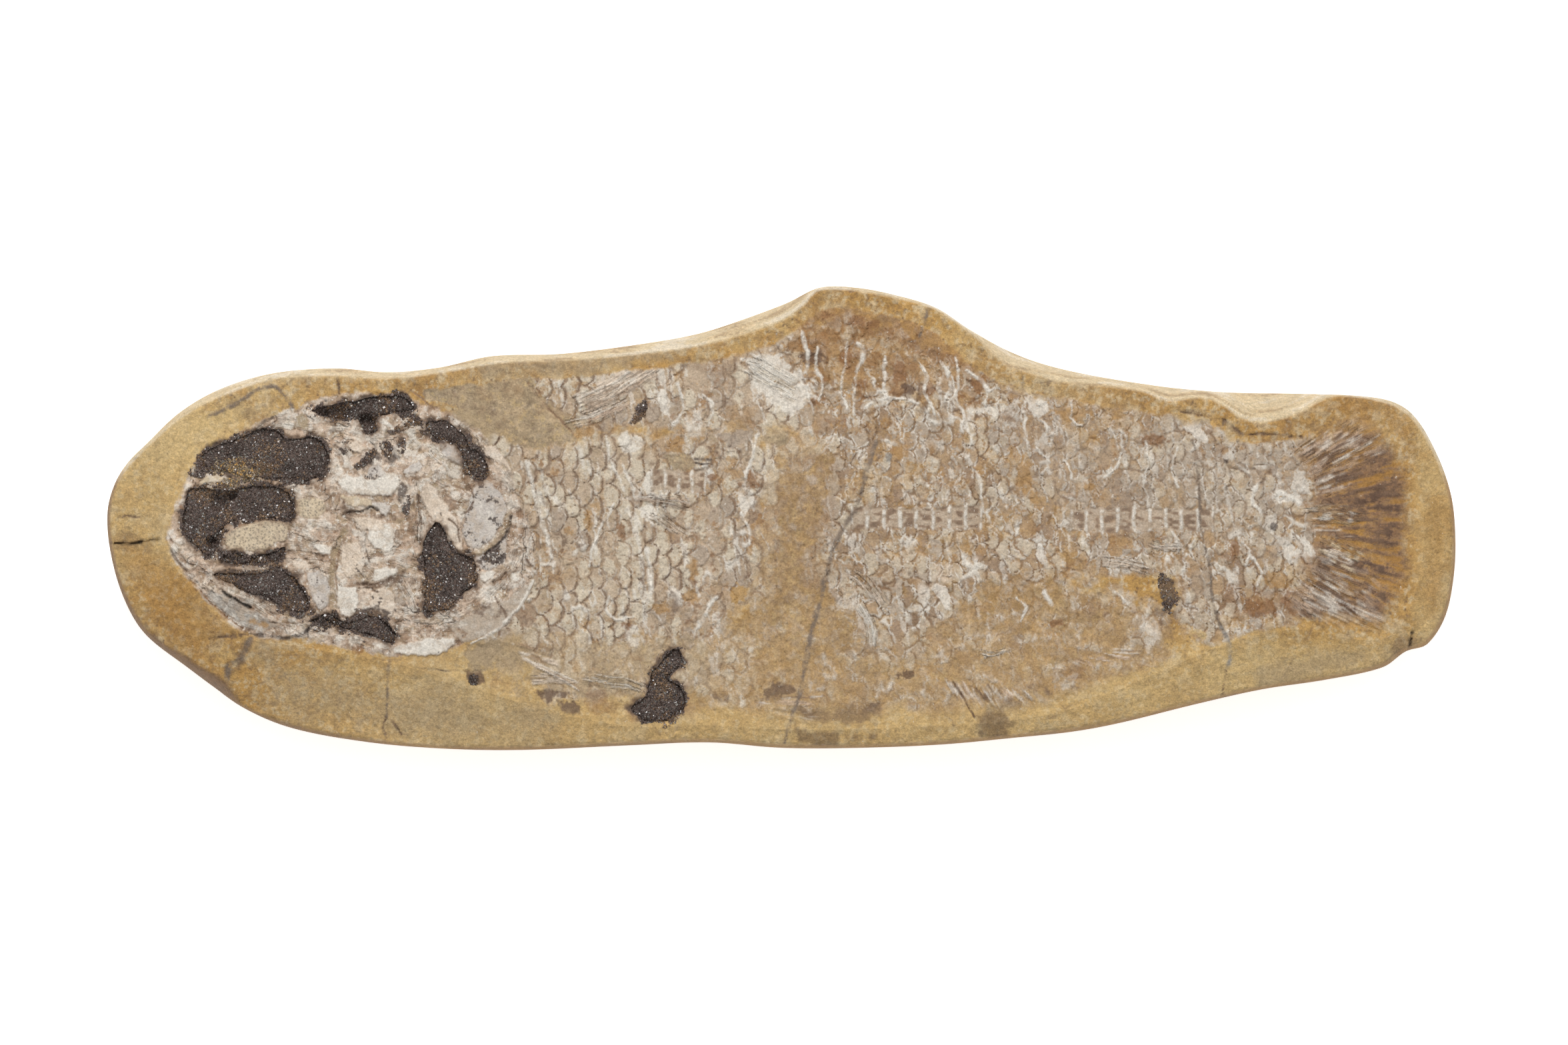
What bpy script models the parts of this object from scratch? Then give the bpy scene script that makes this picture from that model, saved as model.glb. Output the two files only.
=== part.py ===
"""Fossil fish slab: half of a split limestone nodule with a whole fish lying in its face.

Run it in Blender 4.5: blender --background --python part.py, or from the text editor.
The slab lies on its back. The origin is in the middle of the flat place it rests on, +X points
to the tail, +Y to the fish's back and +Z out of the fossil face. Points and sizes below are real
millimetres, and add_object turns them into metres.
"""
import math

import bmesh
import bpy
import numpy as np
from mathutils import Vector
from mathutils.geometry import delaunay_2d_cdt

MILLIMETRE = 0.001

# Driving dimensions, in millimetres
FACE_LEVEL = 41.0        # the split face over the resting place, at the foot of the fish
BODY_BULGE = 4.0         # how far the fish's side swells over the split face
BULGE_CENTRE = (0.0, -8.0)
BULGE_REACH = (262.0, 92.0)
MARGIN_FALL = 4.0        # how far the bare stone falls away from the fish to the rim
MARGIN_WIDTH = 24.0
BED_LEVEL = 27.0         # floor of the bed in the stone that holds the fish
GAP = 0.3                # clearance between one solid and the next
RIM_STEP = 4.0           # least drop from the face's edge to the widest line
RIM_SLOPE = 3.2          # extra drop for each millimetre of side that shows past the edge
DEEPEST_RIM = 24.0
BASE_INSET = 36.0        # how far inside the outline the flat resting place starts
UNDERSIDE = ((2.5, 0.78), (8.0, 0.5), (16.0, 0.24), (26.0, 0.07))   # inset, share of rim height
STONE_LUMP = 0.9         # height of the slow swells of the stone
HOLLOW_DEPTH = 6.5       # depth of the open hollows under the bones
CRYSTAL_BED = 1.4        # least thickness of a crystal crust
CRYSTAL_TALL = 4.6       # most that a crystal stands up from its crust's underside
SCALE_PITCH = (7.0, 9.4)    # one scale's step along the body, and its height
SCALE_LIFT = 0.85        # how far a scale's free edge stands up
SCALE_WANDER = 0.25      # how far a scale lies out of its row
BONE_LUMP = 0.45         # roughness of the skull between its plates
SIDE_LUMP = 1.5          # how far the broken sides and the underside bulge in and out
RIM_GRAIN = 6.6          # spacing of the points along the edges
STONE_GRAIN = 9.5        # spacing of the points in the bare stone
FLANK_GRAIN = 7.2        # spacing of the points in the smooth parts of the fish
HEAD_GRAIN = 4.3         # spacing of the points in the skull
CRYSTAL_GRAIN = 2.9      # spacing of the crystals
STONE_CLEAR = 4.0        # how far the stone's free points keep from its edges
RELIEF_CLEAR = 1.5       # how near a point may lie to an edge or to another crest
SCALE_CLEAR = 2.2        # how near a scale's points may lie to other relief
PLATE_BEVEL = 1.3        # width of the slope at a bone plate's edge
RAY_HALF = 2.0           # half the width of a fin ray's foot
VERTEBRA_REACH = 2.4     # how far from its middle a vertebra's rim slopes down
CRYSTAL_BRIM = (0.2, 1.3)   # lowest and highest points of a crust's jagged edge over its bed
WELD = 0.02              # points nearer than this are one point
HEAD_END = -92.0         # where the skull gives way to the scaled body

# The nodule's widest line, from the snout round by the belly to the tail and the back
GIRTH = (
    (-260, 3), (-259, -12), (-254, -30), (-246, -44), (-230, -57), (-210, -71.5), (-190, -80.5),
    (-160, -86.2), (-130, -88.8), (-100, -89.3), (-60, -87.6), (-28, -86.4), (0, -88.5), (30, -88.5),
    (62, -87.2), (90, -84.6), (112, -82.3), (130, -79), (160, -71.6), (185, -66), (210, -62.2),
    (232, -57.4), (241, -51.2), (249, -48.6), (256, -38), (259.4, -22), (260, -6), (258.2, 10),
    (252, 27), (243, 41), (232, 46.4), (205, 48.4), (170, 49.2), (145, 51.6), (120, 55.6),
    (100, 60.4), (85, 66.4), (72, 73.6), (60, 81.4), (46, 86), (30, 89.2), (15, 89.4), (2, 83.6),
    (-14, 77.6), (-32, 71.8), (-55, 67.6), (-85, 63.9), (-112, 63), (-132, 58.6), (-152, 56.8),
    (-172, 58.3), (-196, 56.4), (-216, 50.6), (-232, 41.4), (-245, 29), (-252, 22), (-257, 14))

# The edge of the split face, which the widest line stands proud of
FACE_EDGE = (
    (-257.6, 3), (-256.6, -12), (-251.6, -29), (-243, -43), (-233, -50.4), (-224, -56), (-213, -62.6),
    (-208, -70.6), (-189, -78.4), (-160, -84.2), (-130, -86.8), (-100, -87.2), (-60, -85.4),
    (-28, -84.2), (0, -86.2), (30, -86.4), (62, -85), (90, -82.4), (112, -80), (130, -76.8),
    (160, -69.4), (185, -63.8), (210, -60), (230, -55.4), (239.5, -49), (247, -46.8), (253.6, -37),
    (257, -22), (257.6, -6), (255.8, 9.4), (249.8, 26), (241, 39.2), (231, 44.4), (214, 46.8),
    (207, 44.5), (198, 39.6), (184, 36.4), (176, 38.4), (169, 43.4), (162, 46), (148, 44.8),
    (140, 48), (126, 50.2), (110, 51.6), (96, 55.2), (86, 58.6), (77, 66.8), (68, 74.2), (58.6, 80.4),
    (45, 84), (30, 87), (14.4, 87.4), (9.6, 82.2), (0, 75.4), (-14, 70.6), (-32, 65.8), (-55, 62.8),
    (-85, 60.2), (-108, 59.4), (-132, 55.4), (-152, 53.4), (-172, 54.6), (-196, 53), (-216, 46.2),
    (-230, 38.8), (-243, 27.6), (-250, 20.6), (-255, 13))

# The outline of the fossil, fins and tail included
FISH = (
    (-238, -8), (-234.6, 6), (-229.6, 19), (-218, 32), (-199, 41.6), (-180, 47.4), (-160, 49.8),
    (-138, 50.4), (-112, 54), (-85, 55.4), (-60, 58), (-35, 61), (-14, 65.6), (2, 71), (11, 79),
    (22, 82), (40, 79.6), (54, 75.6), (66, 67.4), (80, 55.6), (96, 50), (118, 45.8), (140, 42),
    (158, 40.4), (168, 37.4), (178, 30.6), (192, 30.6), (206, 35.6), (220, 40.4), (232, 38.6),
    (241, 26), (246, 10), (247, -8), (245, -24), (240, -38), (232, -46), (218, -46), (200, -42.6),
    (182, -45), (164, -51), (146, -58.6), (128, -66.4), (110, -73.4), (88, -77.6), (60, -79.6),
    (30, -80.8), (0, -81), (-30, -79.4), (-54, -80), (-76, -77), (-96, -72), (-118, -65),
    (-140, -58), (-162, -53.2), (-186, -49), (-205, -46), (-219, -35.6), (-230, -23))

# Open hollows between the bones, each lined with a crust of dark crystals
HOLLOWS = {
    "orbit": ((-223, 20.6), (-222.4, 25.4), (-212, 29.4), (-202, 34), (-196, 34.6), (-190, 30.4),
              (-181, 31.4), (-175.5, 28), (-174.5, 20), (-180, 14.6), (-192, 15), (-204, 15.6),
              (-215, 18)),
    "snout": ((-226, 12), (-214, 11), (-201, 13), (-191, 11.4), (-187, 6), (-188, 0.4), (-200, 0),
              (-210, -1), (-216.4, -5.6), (-216, -11.4), (-221, -14), (-227.6, -8), (-230, -1),
              (-228.6, 6)),
    "upper_jaw": ((-214.6, -12.8), (-206, -14), (-198, -13.4), (-191, -11), (-192, -14.6),
                  (-200, -16.8), (-213, -16.4)),
    "lower_jaw": ((-218, -21.4), (-207, -21), (-199, -20.6), (-195, -18.2), (-189.4, -21),
                  (-184.4, -26.6), (-182, -35.4), (-188, -35.6), (-197, -31.6), (-209, -26)),
    "throat": ((-182, -39.4), (-174, -37), (-166, -39.4), (-158, -37.4), (-151.4, -39.6),
               (-148.6, -44.4), (-150, -47.4), (-158, -44.6), (-170, -41.6)),
    "skull_roof": ((-181, 41.6), (-171, 44.4), (-160, 46.4), (-151, 47.6), (-144, 46.4), (-141, 42.4),
                   (-148, 40.4), (-155, 39.6), (-155.4, 34), (-160, 33), (-163.4, 38.4),
                   (-170, 38.4)),
    "nape": ((-136, 36), (-128.6, 38), (-123, 33), (-118.6, 27), (-113, 21), (-113.4, 16),
             (-119, 17), (-121.6, 23), (-126, 29.4), (-133, 31)),
    "gill_cover": ((-133.6, -1.6), (-129, -4), (-126, -12), (-118, -15.4), (-117.6, -25),
                   (-125, -31), (-130, -35.6), (-137, -35), (-136.6, -24), (-137.6, -12)),
    "belly": ((-40, -50), (-38.4, -56), (-44, -61), (-37, -67), (-37.6, -73), (-43, -77.4),
              (-53, -77.6), (-57.6, -73), (-52, -68), (-50, -60), (-46, -54)),
}

# Bone plates that stand over their neighbours: outline and height
PLATES = (
    (((-213.6, -6), (-206, -2.4), (-196, -1.8), (-186, -2.6), (-178, -5), (-180, -12), (-189, -9),
      (-197, -11.4), (-208, -11.6)), 0.4),
    (((-172, 18), (-160, 20), (-150, 17), (-150, 10), (-160, 7), (-171, 9)), 1.3),
    (((-135, 30), (-126, 26), (-119, 14), (-107, 10), (-107, -2), (-112, -9), (-121, -8),
      (-117, 6), (-122, 16), (-134, 24)), 1.8),
    (((-140, 13), (-134, 10), (-124, -5), (-123, -12), (-128, -8), (-134, 2), (-139, 3)), 1.5),
    (((-171, -25), (-163.5, -26), (-163.5, -37), (-170, -36)), 1.5),
    (((-158, -7), (-151, -4), (-149, -9), (-153, -12.6)), 1.2),
    (((-147, -50), (-134, -46), (-128, -46.6), (-133, -51), (-142, -52)), 1.5),
)

# Bundles of bone fibres and bent edges: points along the crest, half width, height
RIDGES = (
    (((-236, -8), (-228, -18), (-214, -27), (-200, -34.4), (-184, -40.4)), 3.0, 2.4),
    (((-225, -27), (-213, -37), (-203, -43), (-188, -45)), 2.4, 1.2),
    (((-180, -43), (-168, -47), (-152, -50.6)), 2.4, 1.4),
    (((-224, 27.5), (-208, 35), (-190, 41), (-184, 37)), 2.6, 1.2),
    (((-186, 10), (-177, 7), (-170, 2)), 3.0, 1.4),
    (((-186, -18), (-172, -15), (-168, -4)), 2.6, 1.4),
    (((-146, 17), (-144, 0), (-141, -16), (-142, -28)), 2.2, 1.6),
    (((-150, -41), (-138, -40), (-126, -43)), 3.0, 1.5),
    (((-116, 30), (-105, 14), (-98, -3), (-99, -22), (-108, -36), (-122, -44)), 2.4, 2.0),
    (((-103, 30), (-96, 10), (-92, -10), (-95, -30), (-104, -46)), 2.4, 1.3),
    (((-142, -57), (-130, -61), (-117, -63)), 3.0, 1.3),
    (((-78, 44), (-62, 51), (-48, 60)), 3.0, 1.2),
)

# Fans of fin rays: foot, direction of the first and last ray in degrees, reach, number of rays
FINS = (
    ((-104, -50), -28, 0, (8, 42), 5),      # pectoral fin
    ((-12, -70), -24, 6, (6, 44), 4),       # pelvic fin
    ((66, -64), -62, -8, (5, 40), 6),       # anal fin
    ((184, 14), 14, 50, (16, 50), 6),       # tail, upper lobe
    ((184, 2), -6, 8, (20, 46), 3),         # tail, middle rays
    ((182, -14), -46, -14, (14, 58), 8),    # tail, lower lobe
)
RAY_HEIGHT = 1.4
SAME_FIN = 12.0          # rays whose feet are nearer than this belong to one fin

# The backbone where it shows: first and last vertebra, height of its middle, number of vertebrae
BACKBONE = ((-52, -30, 15, 4), (28, 76, 0, 8), (112, 164, 0, 8))
VERTEBRA_HALF = 5.0
VERTEBRA_RIM = 1.6

# Cracks through stone and fish: points, half width, depth
CRACKS = (
    (((-256, -9), (-247, -9.4), (-238, -8)), 1.4, 1.6),
    (((-204, -47), (-208, -54), (-212, -62)), 2.0, 1.2),
    (((56, 80), (46, 57), (38, 40), (31, 12), (20, -12), (12, -42), (7, -67), (2, -84)), 1.4, 0.6),
    (((158, 30), (161, 0), (166, -33), (172.5, -51), (170.5, -64)), 1.2, 0.6),
)

# Patches of scales, as boxes: least x, greatest x, least y, greatest y
SCALED = ((-94, 2, -46, 34), (16, 184, -34, 34), (8, 72, 34, 74), (-92, -24, 36, 54))

# Display colours and finishes
FINISHES = {
    "slab": ((0.52, 0.36, 0.17), 0.92),
    "fish": ((0.49, 0.39, 0.26), 0.62),
    "crystals": ((0.06, 0.045, 0.04), 0.30),
}


def along(points, spacing, closed):
    """Points of a smooth curve through the given ones, in steps of about the spacing."""
    points = np.array(points, float)
    ends = np.roll(points, -1, 0) if closed else points[1:]
    before = np.roll(points, 1, 0) if closed else np.vstack((points[:1], points[:-2]))
    after = np.roll(points, -2, 0) if closed else np.vstack((points[2:], points[-1:]))
    curve = []
    for p0, p1, p2, p3 in zip(before, points, ends, after):
        near, run, far = (float(np.linalg.norm(span)) for span in (p1 - p0, p2 - p1, p3 - p2))
        leave = (p2 - p0) * run / (near + run)
        arrive = (p3 - p1) * run / (run + far)
        steps = max(1, round(run / spacing))
        for t in np.arange(steps) / steps:
            ease = t * t * (3 - 2 * t)
            turn = leave * t * (1 - t) ** 2 - arrive * t * t * (1 - t)
            curve.append(p1 + (p2 - p1) * ease + turn)
    if not closed:
        curve.append(points[-1])
    return np.array(curve)


def side_normals(curve, closed):
    """Unit normals to the left of a curve: inward, for a loop that runs counterclockwise."""
    ahead = np.roll(curve, -1, 0) - curve
    back = curve - np.roll(curve, 1, 0)
    if not closed:
        ahead[-1] = back[-1]
        back[0] = ahead[0]
    run = ahead / np.linalg.norm(ahead, axis=1)[:, None] + back / np.linalg.norm(back, axis=1)[:, None]
    run /= np.linalg.norm(run, axis=1)[:, None]
    return np.column_stack((-run[:, 1], run[:, 0]))


def counterclockwise(loop):
    x, y = loop[:, 0], loop[:, 1]
    area = np.sum(x * np.roll(y, -1) - y * np.roll(x, -1))
    return loop if area > 0 else loop[::-1]


def closed_curve(points, spacing):
    return counterclockwise(along(points, spacing, True))


def distance(points, curve, closed):
    """Least distance of each point from a curve."""
    starts = curve if closed else curve[:-1]
    runs = (np.roll(curve, -1, 0) if closed else curve[1:]) - starts
    offset = points[:, None] - starts[None]
    share = np.clip(np.sum(offset * runs, axis=2) / np.sum(runs * runs, axis=1), 0, 1)
    return np.linalg.norm(offset - share[..., None] * runs, axis=2).min(axis=1)


def inside(points, loop):
    """Which points lie inside a loop."""
    x, y = points[:, 0][:, None], points[:, 1][:, None]
    ax, ay = loop[:, 0], loop[:, 1]
    bx, by = np.roll(ax, -1), np.roll(ay, -1)
    spans = (ay > y) != (by > y)
    rise = np.where(by == ay, 1.0, by - ay)
    return (spans & (x < ax + (y - ay) * (bx - ax) / rise)).sum(axis=1) % 2 == 1


def inset(loop, amount):
    """A loop moved inwards, without the points that come too near its far side."""
    moved = loop + side_normals(loop, True) * amount
    return moved[distance(moved, loop, True) > amount * 0.93]


def shift(loop, amount):
    """A loop moved inwards point for point."""
    return loop + side_normals(loop, True) * amount


def grid(loop, spacing, clear, seed):
    """Points in staggered rows that fill a loop and keep clear of its edge, a little uneven."""
    low, high = loop.min(axis=0), loop.max(axis=0)
    rows = []
    for number, y in enumerate(np.arange(low[1], high[1], spacing * math.sqrt(0.75))):
        x = np.arange(low[0] + (number % 2) * spacing / 2, high[0], spacing)
        rows.append(np.column_stack((x, np.full(len(x), y))))
    points = np.vstack(rows)
    points += np.random.default_rng(seed).uniform(-0.16, 0.16, points.shape) * spacing
    points = points[inside(points, loop)]
    return points[distance(points, loop, True) > clear]


def keep_apart(points, others, clear):
    """The points that are no nearer than clear to any of the others."""
    if not len(others):
        return points
    gaps = np.linalg.norm(points[:, None] - np.asarray(others)[None], axis=2).min(axis=1)
    return points[gaps > clear]


def rise_along(points, curve, half_width, height):
    """Height of a rounded ridge, or of a groove where the height is negative."""
    return height * np.clip(1 - distance(points, curve, False) / half_width, 0, 1)


GIRTH_LOOP = closed_curve(GIRTH, RIM_GRAIN)
FACE_LOOP = closed_curve(FACE_EDGE, RIM_GRAIN)
FISH_LOOP = closed_curve(FISH, RIM_GRAIN)
HOLLOW_LOOPS = {name: closed_curve(points, 4.0) for name, points in HOLLOWS.items()}
RIDGE_CURVES = [(along(points, 5.5, False), half, height) for points, half, height in RIDGES]
CRACK_CURVES = [(along(points, 9.0, False), half, -depth) for points, half, depth in CRACKS]
PLATE_LOOPS = [(counterclockwise(np.array(points, float)), height) for points, height in PLATES]


def fin_rays():
    """The middle line of every fin ray, from foot to tip."""
    rays = []
    for foot, first, last, reach, count in FINS:
        for angle in np.radians(np.linspace(first, last, count)):
            line = np.linspace(reach[0], reach[1], 6)[:, None] * (math.cos(angle), math.sin(angle))
            rays.append(line + foot)
    return rays


def vertebrae():
    """Rims and waists of the vertebrae, each as x, height of the middle and rise."""
    bands = []
    for first, last, middle, count in BACKBONE:
        for x in np.linspace(first, last, count + 1):
            bands.append((x, middle, VERTEBRA_RIM))
        for x in np.linspace(first, last, 2 * count + 1)[1::2]:
            bands.append((x, middle, 0.1))
    return bands


def scales():
    """Crests of the scales and the corners between them, in staggered columns down each patch."""
    length, height = SCALE_PITCH
    crests, corners = [], []
    for left, right, low, high in SCALED:
        for column, x in enumerate(np.arange(left, right, length)):
            for y in np.arange(low + (column % 2) * height / 2, high, height):
                crests.append((x + length / 4, y))
                corners += [(x - length / 3, y + height / 2), (x + length / 3, y + height / 2)]
    chance = np.random.default_rng(5)
    return (np.array(crests) + chance.uniform(-SCALE_WANDER, SCALE_WANDER, (len(crests), 2)),
            np.array(corners) + chance.uniform(-SCALE_WANDER, SCALE_WANDER, (len(corners), 2)))


RAY_CURVES = fin_rays()
VERTEBRA_BANDS = vertebrae()
SCALE_CRESTS, SCALE_CORNERS = scales()


def face_height(points):
    """The split face: swollen over the body, falling away in the bare stone, with slow swells."""
    x, y = points[:, 0], points[:, 1]
    swell = 1 - ((x - BULGE_CENTRE[0]) / BULGE_REACH[0]) ** 2
    across = 1 - ((y - BULGE_CENTRE[1]) / BULGE_REACH[1]) ** 2
    height = FACE_LEVEL + BODY_BULGE * np.clip(swell, 0, 1) * np.clip(across, 0, 1)
    height += STONE_LUMP * 0.5 * (np.sin(x / 31 + 1) * np.cos(y / 22) + np.sin(x / 13 + y / 17))
    beyond = np.where(inside(points, FISH_LOOP), 0, distance(points, FISH_LOOP, True))
    height -= MARGIN_FALL * np.clip(beyond / MARGIN_WIDTH, 0, 1)
    for curve, half_width, depth in CRACK_CURVES:
        height += rise_along(points, curve, half_width, depth)
    return height


def rim_height(points):
    """Height of the widest line, lower where more of the stone's side shows past the face."""
    shows = distance(points, FACE_LOOP, True)
    return FACE_LEVEL - MARGIN_FALL - np.minimum(RIM_STEP + RIM_SLOPE * shows, DEEPEST_RIM)


def fish_height(points):
    """The face with the fish's relief: plates, fibres, rays, vertebrae and scales."""
    height = face_height(points)
    x, y = points[:, 0], points[:, 1]
    lumps = np.sin(x * 1.31 + y * 0.47) * np.sin(y * 1.13 - x * 0.38)
    height += lumps * np.where(x < HEAD_END, BONE_LUMP, BONE_LUMP / 2)
    for loop, rise in PLATE_LOOPS:
        ramp = np.clip(distance(points, loop, True) / PLATE_BEVEL, 0, 1)
        height += rise * np.where(inside(points, loop), ramp, 0)
    for curve, half_width, rise in RIDGE_CURVES:
        height += rise_along(points, curve, half_width, rise)
    for curve in RAY_CURVES:
        height += rise_along(points, curve, RAY_HALF, RAY_HEIGHT)
    for place, middle, rise in VERTEBRA_BANDS:
        near = np.clip(1 - abs(x - place) / VERTEBRA_REACH, 0, 1)
        height += rise * near * (abs(y - middle) < VERTEBRA_HALF + 0.5)
    for places, rise in ((SCALE_CRESTS, SCALE_LIFT), (SCALE_CORNERS, -SCALE_LIFT / 2)):
        nearest = np.linalg.norm(points[:, None] - places[None], axis=2).min(axis=1)
        height += rise * np.clip(1 - nearest / SCALE_CLEAR, 0, 1)
    return height


def relief_points():
    """Points along every crest, foot, rim and free edge of the fish's relief."""
    lines = []
    for curve, half_width, _ in RIDGE_CURVES:
        sides = side_normals(curve, False) * half_width
        lines += [curve, curve + sides, curve - sides]
    lines += RAY_CURVES
    lines += [(near + far) / 2 for near, far in zip(RAY_CURVES, RAY_CURVES[1:])
              if np.linalg.norm(near[0] - far[0]) < SAME_FIN]
    for loop, _ in PLATE_LOOPS:
        lines += [loop, shift(loop, PLATE_BEVEL)]
    for x, middle, _ in VERTEBRA_BANDS:
        lines.append(np.array([(x, middle + part * VERTEBRA_HALF) for part in (-1, 0, 1)]))
    lines += [curve for curve, _, _ in CRACK_CURVES]
    chosen = np.empty((0, 2))
    for line in lines:
        chosen = np.vstack((chosen, keep_apart(line, chosen, RELIEF_CLEAR)))
    for places in (SCALE_CRESTS, SCALE_CORNERS):
        chosen = np.vstack((chosen, keep_apart(places, chosen, SCALE_CLEAR)))
    return chosen


def triangulate(points, loops, outer, holes):
    """Triangles over points, held to the loops, inside the outer loop and outside the holes."""
    corners, edges = [], []
    for loop in loops:
        first = len(corners)
        corners += list(loop)
        edges += [(first + step, first + (step + 1) % len(loop)) for step in range(len(loop))]
    corners += list(points)
    found = delaunay_2d_cdt([Vector(corner) for corner in corners], edges, [], 0, 1e-5)
    plan = np.array([tuple(corner) for corner in found[0]])
    faces = np.array(found[2])
    middles = plan[faces].mean(axis=1)
    keep = inside(middles, outer)
    for hole in holes:
        keep &= ~inside(middles, hole)
    return plan, faces[keep]


class Solid:
    """Gathers sheets and walls, and closes them into one body."""

    def __init__(self):
        self.mesh = bmesh.new()

    def sheet(self, plan, faces, heights):
        """A sheet of triangles at the given heights."""
        corners = [self.mesh.verts.new((x, y, z)) for (x, y), z in zip(plan, heights)]
        for face in faces:
            self.mesh.faces.new([corners[index] for index in face])

    def wall(self, loop, lower, upper):
        """An upright wall along a loop, between two rows of heights."""
        rows = [[self.mesh.verts.new((x, y, z)) for (x, y), z in zip(loop, heights)]
                for heights in (lower, upper)]
        for step in range(len(loop)):
            after = (step + 1) % len(loop)
            self.mesh.faces.new((rows[0][step], rows[0][after], rows[1][after], rows[1][step]))

    def finish(self, name, finish):
        """Joins the edges, turns the faces outwards and adds the object, in metres."""
        bmesh.ops.remove_doubles(self.mesh, verts=self.mesh.verts, dist=WELD)
        bmesh.ops.triangulate(self.mesh, faces=self.mesh.faces)
        loose = [vert for vert in self.mesh.verts if not vert.link_faces]
        bmesh.ops.delete(self.mesh, geom=loose, context="VERTS")
        bmesh.ops.recalc_face_normals(self.mesh, faces=self.mesh.faces)
        bmesh.ops.scale(self.mesh, vec=Vector((MILLIMETRE,) * 3), verts=self.mesh.verts)
        data = bpy.data.meshes.new(name)
        self.mesh.to_mesh(data)
        self.mesh.free()
        item = bpy.data.objects.new(name, data)
        item.data.materials.append(make_finish(name, *FINISHES[finish]))
        bpy.context.scene.collection.objects.link(item)


def make_finish(name, colour, roughness):
    material = bpy.data.materials.new(name)
    material.use_nodes = True
    shader = material.node_tree.nodes["Principled BSDF"]
    shader.inputs["Base Color"].default_value = (*colour, 1)
    shader.inputs["Roughness"].default_value = roughness
    shader.inputs["Metallic"].default_value = 0
    return material


def hollow_floor(loop):
    """Height of a hollow's floor, level, and below the lowest part of its rim."""
    return float(fish_height(loop).min()) - HOLLOW_DEPTH


def bare_stone(points, clear):
    """The points on the bare stone between the fish and the face's edge, clear of both."""
    points = points[inside(points, FACE_LOOP) & ~inside(points, FISH_LOOP)]
    points = points[distance(points, FACE_LOOP, True) > clear]
    return points[distance(points, FISH_LOOP, True) > clear]


def add_slab():
    """The stone: rounded underside on a flat resting place, face margins, and the fish's bed."""
    stone = Solid()
    rim = rim_height(GIRTH_LOOP)

    cracks = []
    for curve, half_width, _ in CRACK_CURVES:
        side = side_normals(curve, False) * half_width
        cracks += [curve, curve + side, curve - side]
    cracks = bare_stone(np.vstack(cracks), RELIEF_CLEAR)
    spread = bare_stone(grid(FACE_LOOP, STONE_GRAIN, STONE_CLEAR, 11), STONE_CLEAR)
    spread = np.vstack((cracks, keep_apart(spread, cracks, STONE_CLEAR)))
    loops = (GIRTH_LOOP, FACE_LOOP, FISH_LOOP)
    plan, faces = triangulate(spread, loops, GIRTH_LOOP, (FISH_LOOP,))
    on_rim = distance(plan, GIRTH_LOOP, True) < WELD
    stone.sheet(plan, faces, np.where(on_rim, rim_height(plan), face_height(plan)))

    bed = np.full(len(FISH_LOOP), BED_LEVEL)
    stone.wall(FISH_LOOP, bed, face_height(FISH_LOOP))
    plan, faces = triangulate([], (FISH_LOOP,), FISH_LOOP, ())
    stone.sheet(plan, faces, np.full(len(plan), BED_LEVEL))

    rings = [inset(closed_curve(GIRTH, RIM_GRAIN * (1 + step * 0.3)), depth)
             for step, (depth, _) in enumerate(UNDERSIDE)]
    rest = inset(closed_curve(GIRTH, RIM_GRAIN * 2), BASE_INSET)
    plan, faces = triangulate(np.vstack(rings + [rest]), (GIRTH_LOOP,), GIRTH_LOOP, ())
    depth = distance(plan, GIRTH_LOOP, True)
    share = np.interp(depth, *zip((0, 1), *UNDERSIDE, (BASE_INSET * 0.93, 0)))
    x, y = plan[:, 0], plan[:, 1]
    lumps = SIDE_LUMP * (np.sin(x / 7.1 + y / 9) + np.sin(y / 5.3 - x / 23)) * np.sin(math.pi * share)
    heights = np.maximum(rim_height_near(plan, rim) * share + lumps, 0.4)
    stone.sheet(plan, faces, np.where(share > 0, heights, 0))
    stone.finish("slab", "slab")


def rim_height_near(points, rim):
    """Height of the widest line at its point nearest to each given one."""
    nearest = np.linalg.norm(points[:, None] - GIRTH_LOOP[None], axis=2).argmin(axis=1)
    return rim[nearest]


def add_fish():
    """The fossil: a level underside in its bed, and the whole relief of the fish on top."""
    fossil = Solid()
    edge = shift(FISH_LOOP, GAP)
    hollows = list(HOLLOW_LOOPS.values())
    features = relief_points()
    features = features[inside(features, edge) & (distance(features, edge, True) > RELIEF_CLEAR)]
    skull = grid(edge, HEAD_GRAIN, HEAD_GRAIN / 2, 21)
    skull = skull[skull[:, 0] < HEAD_END]
    flank = grid(edge, FLANK_GRAIN, FLANK_GRAIN / 2, 22)
    flank = flank[flank[:, 0] > HEAD_END]
    points = np.vstack((features, keep_apart(skull, features, HEAD_GRAIN * 0.7),
                        keep_apart(flank, features, FLANK_GRAIN * 0.7)))
    for hollow in hollows:
        points = points[~inside(points, hollow) & (distance(points, hollow, True) > RELIEF_CLEAR)]
    plan, faces = triangulate(points, (edge, *hollows), edge, hollows)
    fossil.sheet(plan, faces, fish_height(plan))
    underside = BED_LEVEL + GAP
    fossil.wall(edge, np.full(len(edge), underside), fish_height(edge))
    plan, faces = triangulate([], (edge,), edge, ())
    fossil.sheet(plan, faces, np.full(len(plan), underside))
    for hollow in hollows:
        floor = hollow_floor(hollow)
        fossil.wall(hollow, np.full(len(hollow), floor), fish_height(hollow))
        plan, faces = triangulate([], (hollow,), hollow, ())
        fossil.sheet(plan, faces, np.full(len(plan), floor))
    fossil.finish("fish", "fish")


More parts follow.
